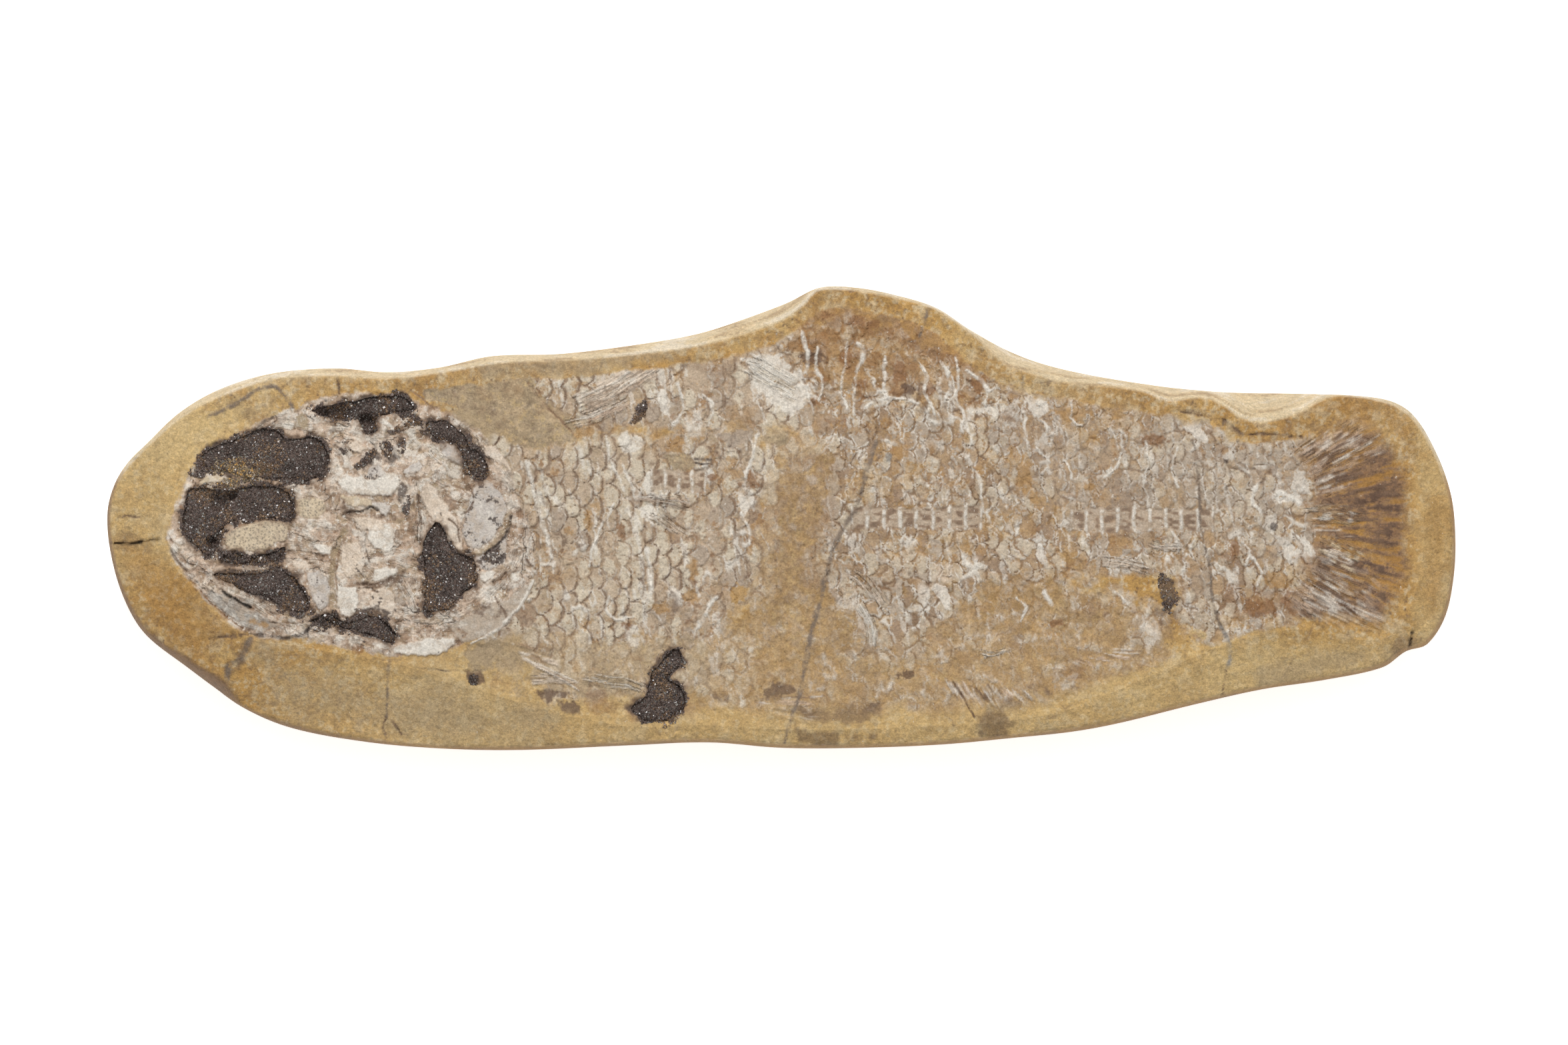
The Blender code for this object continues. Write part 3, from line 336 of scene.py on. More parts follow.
BODY_PATCHES = (
    ("lilac", 16, 8, 0.65, (88, 46, 196, 36, 204, 8, 192, -22, 150, -8, 110, -4, 84, 10)),
    ("earth", 7, 6, 0.6, (-110, -62, -60, -76, 0, -84, 60, -84, 110, -78, 150, -60, 150, -44, 120, -44, 90,
     -46, 40, -52, 0, -50, -30, -64, -70, -72)),
    ("earth", 6, 6, 0.6, (70, -24, 96, -20, 120, -26, 140, -34, 134, -50, 90, -48, 60, -44)),
    ("tan", 5, 4, 0.55, (-120, -50, -60, -47, -26, -45, -30, -62, -70, -73, -110, -64)),
    ("earth", 5, 4, 0.65, (-22, -44, -6, -28, 26, -30, 30, -52, 0, -56, -22, -52)),
    ("brown", 3, 4, 0.85, (-1, 26, 8, 25, 22, 28, 26, 14, 22, 0, 16, -16, 24, -32, -8, -32, -4, -14, -1,
     0)),
    ("earth", 3, 5, 0.62, (-1, 24, 5, 22, 17, 23, 19, 8, 15, -8, 12, -22, 20, -32, -10, -32, -4, -12, -1,
     0)),
    ("tan", 2, 2, 1.2, (-142, 56, -112, 62, -99, 58, -93, 47, -82, 38, -78, 29, -98, 27, -108, 33, -120, 41,
     -136, 46)),
    ("orange", 6, 5, 0.8, (2, 66, 8, 84, 30, 86, 52, 79, 66, 67, 74, 57, 58, 49, 34, 52, 10, 54)),
    ("ochre", 3, 4, 0.75, (4, 92, 6, 80, 26, 77, 44, 72, 60, 66, 76, 57, 90, 54, 98, 50, 110, 60, 62, 90,
     30, 96)),
    ("rust", 3, 5, 0.85, (5, 82, 18, 84, 34, 82, 48, 76, 64, 68, 76, 60, 72, 56, 58, 62, 44, 69, 28, 74, 8,
     73)),
    ("brown", 2, 4, 0.8, (12, 88, 24, 87, 36, 83, 48, 78, 44, 76, 30, 80, 14, 82)),
    ("rust", 2.5, 3, 0.75, (8, 70, 18, 72, 20, 60, 10, 59)),
    ("rust", 2, 2.4, 0.8, (23, 68, 30, 70, 32, 62, 29, 54, 24, 58)),
    ("brown", 2, 3, 0.7, (40, 64, 52, 62, 54, 50, 44, 48, 38, 56)),
    ("white", 2.5, 4, 0.8, (-16, 62, -4, 64, 6, 58, 10, 46, 4, 40, -6, 42, -10, 50)),
    ("white", 1.4, 3, 0.55, (74, 42, 86, 46, 98, 40, 92, 36, 80, 38)),
    ("bone_pale", 3, 3, 0.85, (-78, 45, -70, 54, -56, 60, -46, 60, -48, 52, -60, 46, -70, 40)),
    ("dark", 1.2, 2.4, 0.9, (-58, 37, -55, 44, -52, 45.6, -51.6, 41, -54, 37.6)),
    ("orange", 2, 2.4, 0.8, (-79, 39, -71, 39, -70, 33, -76, 32)),
    ("orange", 2, 2.6, 0.7, (-51, 37, -44, 37, -43, 31, -50, 30)),
    ("orange", 2.5, 3, 0.65, (-60, 31, -44, 31, -34, 29, -38, 26, -56, 27)),
    ("orange", 2.4, 3, 0.65, (-44, 60, -36, 59, -37, 50, -43, 50)),
    ("brown", 2.4, 3, 0.7, (-34, 61, -20, 61, -19, 54, -30, 53)),
    ("orange", 1.6, 2.2, 0.8, (-22, 44, -10, 43, -10, 34, -18, 31, -22, 36)),
    ("tan_grey", 1.4, 1.6, 0.9, (-45, 25, -34, 25, -33, 19, -42, 18)),
    ("tan_grey", 1.2, 1.6, 0.9, (-9, 31, -4, 35, 2, 33, 2, 29, -5, 28.6)),
    ("scale_grey", 1.4, 1.6, 0.8, (-27, 33, -10, 35, -10, 30, -20, 27)),
    ("brown", 1.6, 2.4, 0.6, (-57, 10, -44, 9, -33, 9, -34, 4, -48, 5, -56, 7)),
    ("orange", 2.4, 3, 0.6, (104, 50, 122, 49, 152, 44, 150, 34, 132, 35, 110, 40)),
    ("ochre", 2.2, 2.4, 0.95, (148, 47, 160, 48, 174, 44, 178, 36, 194, 33, 206, 38, 216, 47, 236, 46, 244,
     40, 236, 33, 222, 33, 206, 31, 190, 33, 176, 34, 164, 39, 152, 42)),
    ("orange", 2.4, 3, 0.7, (88, 22, 96, 22, 96, 8, 90, 3, 88, 10)),
    ("orange", 2.4, 3, 0.55, (112, 16, 120, 15, 121, 8, 114, 9)),
    ("orange", 3, 3, 0.5, (72, -20, 96, -16, 104, -26, 86, -32)),
    ("rust", 3, 3, 0.7, (168, -26, 196, -24, 198, -34, 178, -40, 170, -36)),
    ("rust", 2, 2.4, 0.6, (195, -12, 204, -13, 205, -20, 197, -21)),
    ("rust", 1.6, 2.2, 0.7, (173, -9, 176, -10, 177, -15, 173, -14)),
    ("lilac", 2, 1.6, 0.7, (156, -20, 164, -19, 166, -30, 158, -31)),
    ("dark", 1.4, 2.2, 0.75, (145, -20, 151, -22, 153, -32, 148, -35, 145, -30)),
    ("umber", 1.6, 2.4, 0.6, (142, -34, 152, -36, 154, -42, 147, -40)),
    ("white", 1.2, 1.6, 0.9, (190, 7.6, 192, 9.6, 199, 9.4, 200.6, 7, 196, 7.4, 191, 6)),
    ("ochre_pale", 1.6, 2, 0.75, (154, -38, 161, -43, 163, -46, 157, -45)),
    ("ochre_pale", 1.4, 1.6, 0.75, (157, -52, 162, -51, 162, -56, 158, -56)),
    ("bone_pale", 1.5, 3, 0.5, (28, -30, 34, -36, 37, -44, 35, -50, 31, -46, 29, -38)),
    ("bone_pale", 1.5, 3, 0.45, (50, -18, 62, -16, 72, -24, 70, -31, 60, -27)),
    ("umber", 2.5, 4, 0.55, (-2, -70, 16, -73, 38, -72, 36, -78, 10, -77)),
    ("umber", 1.6, 3, 0.6, (8, -81, 24, -83, 34, -84, 20, -87, 8, -84)),
    ("umber", 1.8, 3, 0.75, (-10, -67, 0, -62, 4, -66, -6, -70)),
    ("umber", 1.8, 3, 0.6, (-36, -62, -22, -67, -20, -71, -34, -66)),
    ("brown", 2, 3, 0.8, (73, -74, 84, -74, 90, -79, 88, -84, 76, -84)),
    ("umber", 1.6, 3, 0.6, (86, -70, 92, -70, 92, -75, 86, -74)),
    ("umber", 2, 3.4, 0.5, (94, -64, 112, -66, 116, -74, 100, -70)),
    ("rust", 1.6, 2.4, 0.6, (108, -57, 122, -55, 122, -60, 110, -62)),
    ("wine", 2, 3, 0.5, (126, -53, 137, -51, 142, -48, 138, -55, 128, -56)),
    ("rust", 1.4, 2, 0.8, (-76, -66, -67, -65, -66, -75, -75, -75)),
    ("brown", 1, 1.4, 0.7, (-75, -64.6, -68, -64.6, -68, -68, -75, -68)),
    ("rust", 1.4, 2, 0.55, (-9, -71, -5, -72, -4, -77, -8, -76)),
    ("wine", 8, 7, 0.85, (218, 30, 232, 27, 241, 16, 245, 2, 243, -10, 236, -16, 228, -6, 220, 4, 212, 6,
     212, 14, 218, 20)),
    ("brown", 7, 6, 0.75, (206, -6, 226, -10, 240, -14, 242, -34, 234, -46, 220, -44, 206, -34)),
    ("brown", 5, 5, 0.6, (196, 6, 214, 8, 224, 4, 222, -4, 200, -4)),
    ("brown", 4, 5, 0.7, (198, 26, 212, 40, 230, 43, 232, 30, 214, 20)),
)

# Stains and breaks in the bare stone, and a painted shadow on the broken ledge at the lower left
STONE_MARKS_AND_SHADOW = (
    # The broken ledge at the lower left: painted shadow where its side lies in shade.
    ("umber", 1.6, 2.6, 0.85, (-248, -41, -240, -46.4, -231, -52.4, -222, -58, -213, -62.4, -210, -68, -216,
     -69, -229, -60, -241, -51)),
    ("umber", 2.6, 3.5, 0.35, (-258, -6, -250, -8, -243, -8, -243, -13, -252, -14, -258, -12)),
    ("ochre_deep", 8, 8, 0.55, (-250, -12, -238, -14, -226, -30, -214, -44, -226, -50, -242, -38)),
    ("ochre_pale", 6, 7, 0.6, (-246, 22, -232, 34, -214, 44, -196, 50, -206, 40, -226, 24)),
    ("tan_grey", 9, 9, 0.5, (-200, -52, -170, -60, -120, -70, -90, -76, -100, -84, -150, -80, -196, -68)),
    ("ochre_deep", 4, 5, 0.5, (205, 44, 222, 46, 240, 38, 250, 22, 244, 24, 232, 36)),
    ("ochre_deep", 6, 6, 0.55, (246, 10, 256, 12, 258, -20, 250, -36, 246, -16)),
    ("tan_grey", 3, 4, 0.5, (180, -58, 214, -50, 232, -50, 236, -54, 206, -60, 184, -64)),
    ("umber", 1.4, 2.4, 0.55, (234, -48, 241, -45, 248, -44, 249, -47, 242, -50, 236, -53)),
    ("dark", 0.6, 0.8, 0.7, (-250, 24.6, -248.4, 24.8, -248, 23.4, -249.6, 23)),
    ("umber", 1, 1.6, 0.6, (-207, -47, -203, -47, -206, -56, -211, -60, -213.6, -62, -214.6, -60, -210,
     -56)),
    ("umber", 1.6, 3.4, 0.6, (-2, -72, 12, -75, 36, -72, 36, -79, 10, -78)),
    ("wine", 1.4, 3, 0.55, (6, -81, 24, -82, 34, -84, 18, -87, 8, -85)),
    ("wine", 1.6, 3, 0.6, (73, -75, 84, -73, 90, -79, 86, -85, 76, -84)),
    ("tan_grey", 2.5, 3, 0.85, (-130, 46, -114, 43, -104, 34, -98, 18, -106, 14, -114, 28, -126, 36)),
    ("tan", 2.5, 3, 0.75, (-118, -42, -98, -38, -90, -48, -104, -56, -120, -52)),
    ("tan", 3, 3.5, 0.65, (-118, 62, -80, 64, -50, 68, -20, 78, -6, 84, -5, 77, -22, 68, -50, 59, -80, 55,
     -118, 54)),
    ("sand", 2.4, 3.4, 0.45, (-210, 55, -180, 58, -150, 56, -150, 54, -180, 55, -208, 51)),
)

# Cracks and veins: colour, half width, rise, points
CRACKS = (
    ("black", 0.55, -1.4, (-258, -9, -250, -9.7, -246, -9, -240, -7.8)),
    ("umber", 0.35, -0.4, (-255, 0.5, -250, 1.1, -247, 0.6)),
    ("vein", 1, -0.5, (-204, -46, -206, -50, -208, -54, -212, -56, -213, -59, -213.4, -63)),
    ("umber", 0.5, -0.5, (-220, -46, -212, -45, -205, -44.5)),
    ("vein", 0.45, 0.25, (-150.5, -51, -151, -60, -151.5, -70, -152, -76)),
    ("umber", 0.4, -0.5, (-152, -76, -153.4, -80, -152, -84)),
    ("umber", 0.35, -0.4, (-150, -77.6, -148, -80, -146, -83)),
    ("vein", 0.7, 0.3, (-220, 39.5, -213, 42.5, -207, 46, -202, 49.5, -198, 51, -194, 50.5, -190, 46.5,
     -188, 42.5)),
    ("vein", 0.8, 0.3, (-196, 39, -203, 34, -207, 31.6)),
    ("umber", 0.35, -0.4, (-200, 52, -196, 54)),
    ("wine", 0.45, -0.3, (-170.5, 54, -170, 48)),
    ("vein", 0.6, 0.15, (57, 82, 55.5, 77, 53, 70)),
    ("vein", 0.9, 0.2, (36.4, 30, 34, 22, 31, 12, 28, 3, 24, -3, 20, -12, 17, -22, 15, -32, 12, -42, 10,
     -52, 8.5, -60, 7, -67)),
    ("vein", 0.8, 0.15, (7, -67, 4, -76, 1, -86)),
    ("vein", 0.55, -0.35, (158, 30, 160, 20, 160.5, 8, 161, 0, 162, -8, 164, -15, 165, -24, 166, -33, 168,
     -40, 171, -45)),
    ("slate", 0.8, 0.25, (169, -42, 171, -45, 172.5, -51, 171.6, -57)),
    ("umber", 0.3, -0.3, (170.8, -58, 170, -64, 170, -69)),
    ("black", 0.5, -1.6, (242.4, -43.6, 241.8, -47, 241.4, -51)),
    ("umber", 0.5, -0.8, (150, 42, 160, 40, 170, 38, 177, 33, 185, 32.5, 200, 31.5)),
    ("dark", 0.5, -0.4, (-33, 23, -27, 22.6)),
    ("dark", 0.4, -0.4, (-33, 21.4, -27, 21)),
    ("wine", 0.4, -0.2, (66, -63, 70, -69, 74, -76)),
    ("brown", 0.5, -0.5, (-97, 52, -92, 45, -85, 38, -80, 33)),
    ("brown", 0.4, -0.3, (-143, 50, -138, 46, -133, 42)),
)

# White edges of broken scales: half width, points
EDGES = (
    (1.2, (187, 7.5, 191, 9.5, 196, 8.5, 199, 6)), (0.45, (25, 68, 24.5, 60, 23.4, 50, 25, 42)),
    (1, (29, 67.6, 32, 64.4, 29, 57)), (0.5, (29, 57, 27.8, 47.5, 27.8, 40)),
    (0.5, (33.6, 56, 37.5, 49.5, 41, 46.4)),
    (0.6, (39.5, 63, 40, 55, 39.6, 49, 41, 46.4, 48, 46.2, 53, 44.3)),
    (0.6, (41, 46.4, 35.6, 45, 32.4, 43)), (0.5, (52.5, 60.5, 55.8, 55, 55, 50, 57, 45, 59, 40)),
    (0.5, (61, 60.5, 63.6, 56.6, 64.6, 50, 62.3, 45)), (0.4, (63.6, 58.6, 65.8, 53, 66, 47)),
    (0.5, (67, 62, 68, 54, 67, 46, 70, 40, 69, 34)), (0.6, (71, 56.6, 76, 54, 80, 49, 82.4, 51)),
    (0.5, (93, 41, 94, 31, 95.4, 24)), (0.5, (98, 40, 100.6, 37, 104.5, 31, 103, 28)),
    (0.4, (98, 27, 103, 21.5, 100.6, 17.6)), (0.4, (111, 45, 112, 37, 115.5, 36)),
    (0.4, (108.4, 23, 111.7, 16)), (0.45, (130.5, 33, 130.5, 25, 128, 19, 124, 16)),
    (0.4, (140, 30, 141, 22, 139, 14)), (0.4, (152, 28, 150, 20, 152, 12)), (0.5, (76, 16, 77, 9, 77, 3)),
    (0.6, (183, 14, 181, 8, 184, 2)), (0.5, (150, -4, 153, -12)), (0.5, (180, -14, 184, -20, 183, -26)),
    (0.4, (176, -8, 180, -12, 178, -18)), (0.5, (90, -30, 94, -34, 92, -39)), (0.8, (101, -28, 104, -33)),
    (0.5, (128, -28, 133, -33)), (0.8, (-51.7, -11, -50.6, -18, -50, -26)),
    (0.5, (-50, -26, -53.4, -36, -51.7, -44)), (0.5, (-66, -30, -67, -35, -63, -38.7, -57, -37.6)),
    (0.8, (-25.3, -30, -28.6, -36, -33, -43)), (0.6, (-9.4, 32, -10.5, 26, -13, 19.6, -14.3, 13)),
    (0.5, (-67, 29.5, -66, 23, -62, 15, -60.5, 11)),
    (0.9, (-98, 22, -95.7, 13, -93.5, 3, -90, -7, -88, -14.5)),
    (0.5, (-64.4, 6.4, -68.8, -2.4, -73, -12, -73.7, -18)), (0.5, (-15.4, 2, -12, -7, -15.4, -13)),
    (0.6, (-40, 52, -38, 44, -41, 36)), (0.6, (-30, 48, -26, 42, -28, 36)), (0.7, (8, 72, 10, 64, 9, 56)),
    (0.5, (14, 66, 13, 58, 16, 52, 14, 46)),
)

# Rust spots: colour, middle, half length and half height
SPOTS = (
    ("orange", -76, 33, 3.4, 2.4), ("orange", -41, 28.5, 3.6, 2.6), ("rust", -26, 16, 2, 1.6),
    ("rust", -61.6, -5.7, 1.4, 3.2), ("orange", -34, -19, 2, 3.6), ("orange", -35, -30, 3, 2.4),
    ("rust", -59.4, -41, 1.8, 1.8), ("ochre", -16.5, -28.8, 3, 3.4), ("orange", -12, -12, 1.6, 2.4),
    ("rust", -11.5, 15, 2.2, 3.6), ("orange", -74, 0, 1.8, 4), ("orange", -46, -34, 3, 2.2),
    ("rust", 8, 77, 2.4, 2), ("rust", 18, 78, 2.6, 1.8), ("rust", 28, 76, 3.4, 1.8),
    ("rust", 35, 75, 2.6, 1.6), ("wine", 12, 62, 4, 3), ("rust", 24.6, 62, 2.2, 4.4),
    ("rust", 31, 52, 2.4, 4), ("wine", 49, 50, 3.4, 2.4), ("rust", 45, 56, 3, 4), ("rust", 57, 49, 2.2, 4),
    ("orange", 60, 68, 6, 1.6), ("rust", 75, 52, 4, 3), ("orange", 46, 25, 2.6, 3.6),
    ("slate", 41, 24, 1.2, 1.6), ("orange", 93, 17, 3, 6), ("orange", 97, 8, 2, 3),
    ("orange", 118, 12, 2.4, 1.6), ("rust", 142, 30, 5, 2.4), ("orange", 112, 40, 6, 3),
    ("rust", 174, -12, 1.6, 3.6), ("rust", 184, -34, 5, 3.6), ("rust", 196, -32, 4, 4),
    ("orange", 190, -24, 4, 3), ("dark", 171, 22, 1.4, 1), ("dark", 189, -3, 1.2, 1.4),
    ("dark", 176, 30, 1.6, 0.8), ("wine", 48, -60, 3, 1.6), ("rust", 106, -40, 3, 1.4),
)

# Where the scales are whole, and where they are faint in the stone: strength and outline
SCALED = (
    (1, (-108, 30, -82, 31, -60, 31, -30, 35, -8, 33, -2, 24, -6, 4, -8, -14, -14, -32, -22, -45, -60, -47,
     -112, -45, -112, -20, -108, 5)),
    (1, (-92, 60, -94, 50, -84, 38, -72, 34, -30, 34, 0, 33, 24, 30, 38, 28, 60, 34, 80, 52, 70, 66, 52, 78,
     22, 84, 6, 78, -6, 68, -36, 62)),
    (1, (20, 32, 20, 12, 16, -10, 15, -32, 40, -44, 90, -40, 112, -24, 150, -18, 156, -44, 180, -46, 200,
     -38, 212, -16, 210, 18, 198, 30, 176, 30, 158, 40, 120, 46, 96, 50, 76, 54, 44, 36)),
    (0.65, (-100, -40, -30, -44, 10, -30, 60, -40, 120, -26, 150, -36, 146, -54, 112, -70, 60, -77, 0, -74,
     -36, -70, -90, -68)),
    (0.55, (-6, 34, 24, 34, 24, 0, 14, -34, -12, -36)),
)

# Bundles of ribs, spines and rays in the body: crest, half width, width of a strand, rise, colours
BODY_FIBRES = (
    ((-80, 43, -64, 50, -48, 60), 5, 1.5, 1, "bone_pale", "brown"),
    ((-84, 36, -70, 40, -58, 46), 2.6, 1.3, 0.6, "bone", "brown"),
    ((-51, 3, -44, -1, -36, -7), 3, 1.3, 1, "bone_pale", "umber"),
    ((-56, 8, -46, 7, -34, 5), 2.4, 1.2, 0.6, "bone", "umber"),
    ((-14, 60, -4, 55, 8, 48), 5.6, 1.6, 0.8, "white", "cream"),
    ((26, -19, 34, -26, 40, -34), 3, 1.4, 1, "bone_pale", "brown"),
    ((29, -32, 34, -40, 35, -50), 2.2, 1.5, 0.8, "white", "tan"),
    ((74, -50, 80, -52, 88, -50), 1, 1.4, 0.9, "white", "tan"),
    ((76, -54, 80, -52), 0.8, 1.2, 0.7, "white", "tan"),
    ((122, -16, 132, -17, 143, -20), 2.4, 1.3, 0.9, "bone_pale", "brown"),
    ((140, -9, 147, -10.6, 155, -11), 1.8, 1.2, 0.8, "bone", "umber"),
    ((-97, -62, -88, -61, -78, -62), 2.4, 1.4, 0.8, "bone_pale", "brown"),
    ((-78, -61, -64, -62.6, -52, -66), 3, 1.3, 0.4, "tan", "umber"),
    ((198, -28, 216, -37, 232, -44), 7.5, 1.7, 0.6, "bone", "brown"),
    ((199, 24, 210, 31, 222, 38), 4, 1.6, 0.6, "bone", "brown"),
    ((200, 1, 212, 1.6, 224, 0), 4.4, 1.7, 0.4, "tan", "umber"),
    ((206, -9, 216, -12, 224, -16), 4.4, 2, 0.3, "cream", "brown"),
)

# Fins: the line of their feet, first and last ray's direction in degrees, shortest and longest
# ray, number of rays, half width of a ray, rise, colours
FINS = (
    (((-104, -47), (-101, -53)), -14, -26, (20, 30), 6, 0.85, 1, "bone_pale", "brown"),
    (((-12, -69), (-6, -75)), -2, -12, (26, 44), 6, 0.8, 0.5, "brown", "umber"),
    (((6, -80), (14, -84)), 0, -6, (14, 24), 4, 0.8, 0.4, "brown", "umber"),
    (((63, -61), (76, -63)), -58, -52, (13, 19), 8, 0.8, 0.7, "bone_pale", "umber"),
    (((78, -63), (96, -66)), -50, -38, (8, 14), 7, 0.8, 0.5, "umber", "wine"),
    (((104, -56), (126, -50)), -20, -6, (8, 15), 6, 0.7, 0.6, "bone", "umber"),
    (((198, 28), (208, 19)), 36, 30, (16, 26), 6, 0.95, 0.7, "scale", "umber"),
    (((203, 14), (205, 9)), 28, 16, (12, 18), 5, 0.9, 0.6, "scale", "umber"),
    (((199, 4), (200, -5)), 4, -6, (16, 26), 5, 0.9, 0.3, "bone", "brown"),
    (((205, -8), (208, -14)), -12, -26, (12, 18), 4, 0.9, 0.4, "cream", "brown"),
    (((204, -17), (197, -34)), -32, -30, (30, 24), 13, 1, 0.8, "scale", "umber"),
)

# The backbone where it shows: first and last end, height of its middle, number of vertebrae
BACKBONE = (
    (-50, -29, 14.6, 4),
    (27, 77, 0.6, 8),
    (111, 166, -0.2, 9),
)


# ---------------------------------------------------------------- chance and noise

def chance_at(column, row, seed):
    """A repeatable number from 0 to 1 for each cell of a square lattice."""
    mixed = (column * 374761393 + row * 668265263 + seed * 974634777) & 0x7FFFFFFF
    mixed = ((mixed ^ (mixed >> 13)) * 1274126177) & 0x7FFFFFFF
    mixed = ((mixed ^ (mixed >> 15)) * 1103515245) & 0x7FFFFFFF
    return (mixed ^ (mixed >> 16)) / 0x7FFFFFFF


def ease(share):
    """A smooth step from 0 to 1."""
    share = np.clip(share, 0, 1)
    return share * share * (3 - 2 * share)


def noise(x, y, size, seed):
    """Smooth noise from -1 to 1 with lumps about the given size across."""
    u, v = x / size, y / size
    column, row = np.floor(u).astype(np.int64), np.floor(v).astype(np.int64)
    across, up = ease(u - column), ease(v - row)
    low = chance_at(column, row, seed) * (1 - across) + chance_at(column + 1, row, seed) * across
    high = chance_at(column, row + 1, seed) * (1 - across) + chance_at(column + 1, row + 1, seed) * across
    return (low * (1 - up) + high * up) * 2 - 1


def clouds(x, y, size, seed, layers=4, fade=0.5):
    """Noise in several sizes, each half as large as the one before and weaker by the fade."""
    total, strength, whole = 0, 1.0, 0.0
    for layer in range(layers):
        total = total + strength * noise(x, y, size, seed + 17 * layer)
        whole += strength
        strength, size = strength * fade, size / 2
        x, y = 0.8 * x - 0.6 * y, 0.6 * x + 0.8 * y
    return total / whole * (0.9 + fade)


def flakes(x, y, size, seed):
    """Irregular cells: distance to the middle, to the border, and each cell's own number."""
    u, v = x / size, y / size
    column, row = np.floor(u).astype(np.int64), np.floor(v).astype(np.int64)
    first = np.full(len(x), 9.0)
    second, owner = first.copy(), np.zeros(len(x))
    for right in (-1, 0, 1):
        for up in (-1, 0, 1):
            c, r = column + right, row + up
            gap = np.hypot(u - c - chance_at(c, r, seed), v - r - chance_at(c, r, seed + 1))
            second = np.minimum(second, np.maximum(gap, first))
            owner = np.where(gap < first, chance_at(c, r, seed + 2), owner)
            first = np.minimum(first, gap)
    return first * size, (second - first) * size / 2, owner


# ---------------------------------------------------------------- curves in the plane

def along(points, spacing, closed=False):
    """Points of a smooth curve through the given ones, in steps of about the spacing."""
    points = np.array(points, float).reshape(-1, 2)
    ends = np.roll(points, -1, 0) if closed else points[1:]
    before = np.roll(points, 1, 0) if closed else np.vstack((points[:1], points[:-2]))
    after = np.roll(points, -2, 0) if closed else np.vstack((points[2:], points[-1:]))
    curve = []
    for p0, p1, p2, p3 in zip(before, points, ends, after):
        near, run, far = (float(np.linalg.norm(span)) for span in (p1 - p0, p2 - p1, p3 - p2))
        leave = (p2 - p0) * run / (near + run)
        arrive = (p3 - p1) * run / (run + far)
        steps = max(1, round(run / spacing))
        for t in np.arange(steps) / steps:
            turn = leave * t * (1 - t) ** 2 - arrive * t * t * (1 - t)
            curve.append(p1 + (p2 - p1) * t * t * (3 - 2 * t) + turn)
    if not closed:
        curve.append(points[-1])
    return np.array(curve)


def closed_curve(points, spacing):
    """A smooth loop through the given points, counterclockwise."""
    loop = along(points, spacing, True)
    x, y = loop.T
    return loop if np.sum(x * np.roll(y, -1) - y * np.roll(x, -1)) > 0 else loop[::-1]


def inward(loop):
    """Unit normals that point into a counterclockwise loop."""
    ahead, back = np.roll(loop, -1, 0) - loop, loop - np.roll(loop, 1, 0)
    run = ahead / np.linalg.norm(ahead, axis=1)[:, None] + back / np.linalg.norm(back, axis=1)[:, None]
    run /= np.linalg.norm(run, axis=1)[:, None]
    return np.column_stack((-run[:, 1], run[:, 0]))


def gap_to(x, y, line, closed=False):
    """Least distance of each point from a line."""
    nearest = np.full(len(x), 1e12)
    for (ax, ay), (bx, by) in zip(line, np.roll(line, -1, 0) if closed else line[1:]):
        dx, dy = bx - ax, by - ay
        share = np.clip(((x - ax) * dx + (y - ay) * dy) / (dx * dx + dy * dy), 0, 1)
        np.minimum(nearest, (x - ax - share * dx) ** 2 + (y - ay - share * dy) ** 2, out=nearest)
    return np.sqrt(nearest)


def beside(x, y, line):
    """Each point's signed distance from a line, left positive, and its way along the line."""
    nearest, side, way, passed = np.full(len(x), 1e12), np.zeros(len(x)), np.zeros(len(x)), 0.0
    for (ax, ay), (bx, by) in zip(line, line[1:]):
        dx, dy = bx - ax, by - ay
        run = math.hypot(dx, dy)
        share = np.clip(((x - ax) * dx + (y - ay) * dy) / run ** 2, 0, 1)
        gap = (x - ax - share * dx) ** 2 + (y - ay - share * dy) ** 2
        closer = gap < nearest
        left = np.where(dx * (y - ay) - dy * (x - ax) > 0, 1, -1)
        side = np.where(closer, left * np.sqrt(gap), side)
        way = np.where(closer, passed + share * run, way)
        nearest = np.where(closer, gap, nearest)
        passed += run
    return side, way


def within(x, y, loop):
    """Which points lie inside a loop."""
    crossed = np.zeros(len(x), bool)
    for (ax, ay), (bx, by) in zip(loop, np.roll(loop, -1, 0)):
        if ay != by:
            crossed ^= ((ay > y) != (by > y)) & (x < ax + (y - ay) * (bx - ax) / (by - ay))
    return crossed


COARSE, FINE = 4.0, 0.9     # steps along an outline
FISH_LOOP = closed_curve(FISH, COARSE)
FACE_LOOP = closed_curve(FACE_EDGE, COARSE)


def ragged(loop, amount, size, seed):
    """A loop with an uneven edge."""
    return loop + inward(loop) * (amount * clouds(*loop.T, size, seed, 3))[:, None]


HOLLOW_LOOPS = {name: ragged(closed_curve(points, FINE), 0.9, 4.0, 80) for name, points in HOLLOWS.items()}


# ---------------------------------------------------------------- the surface of the face

def face_height(x, y):
    """The split face: swollen over the body, falling away in the bare stone, with slow swells."""
    swell = 1 - ((x - BULGE_CENTRE[0]) / BULGE_REACH[0]) ** 2
    across = 1 - ((y - BULGE_CENTRE[1]) / BULGE_REACH[1]) ** 2
    height = FACE_LEVEL + BODY_BULGE * np.clip(swell, 0, 1) * np.clip(across, 0, 1)
    height += STONE_LUMP * 0.5 * (np.sin(x / 31 + 1) * np.cos(y / 22) + np.sin(x / 13 + y / 17))
    beyond = np.where(within(x, y, FISH_LOOP), 0, gap_to(x, y, FISH_LOOP, True))
    height -= MARGIN_FALL * np.clip(beyond / MARGIN_WIDTH, 0, 1)
    return height + 0.22 * clouds(x, y, 9, 3)


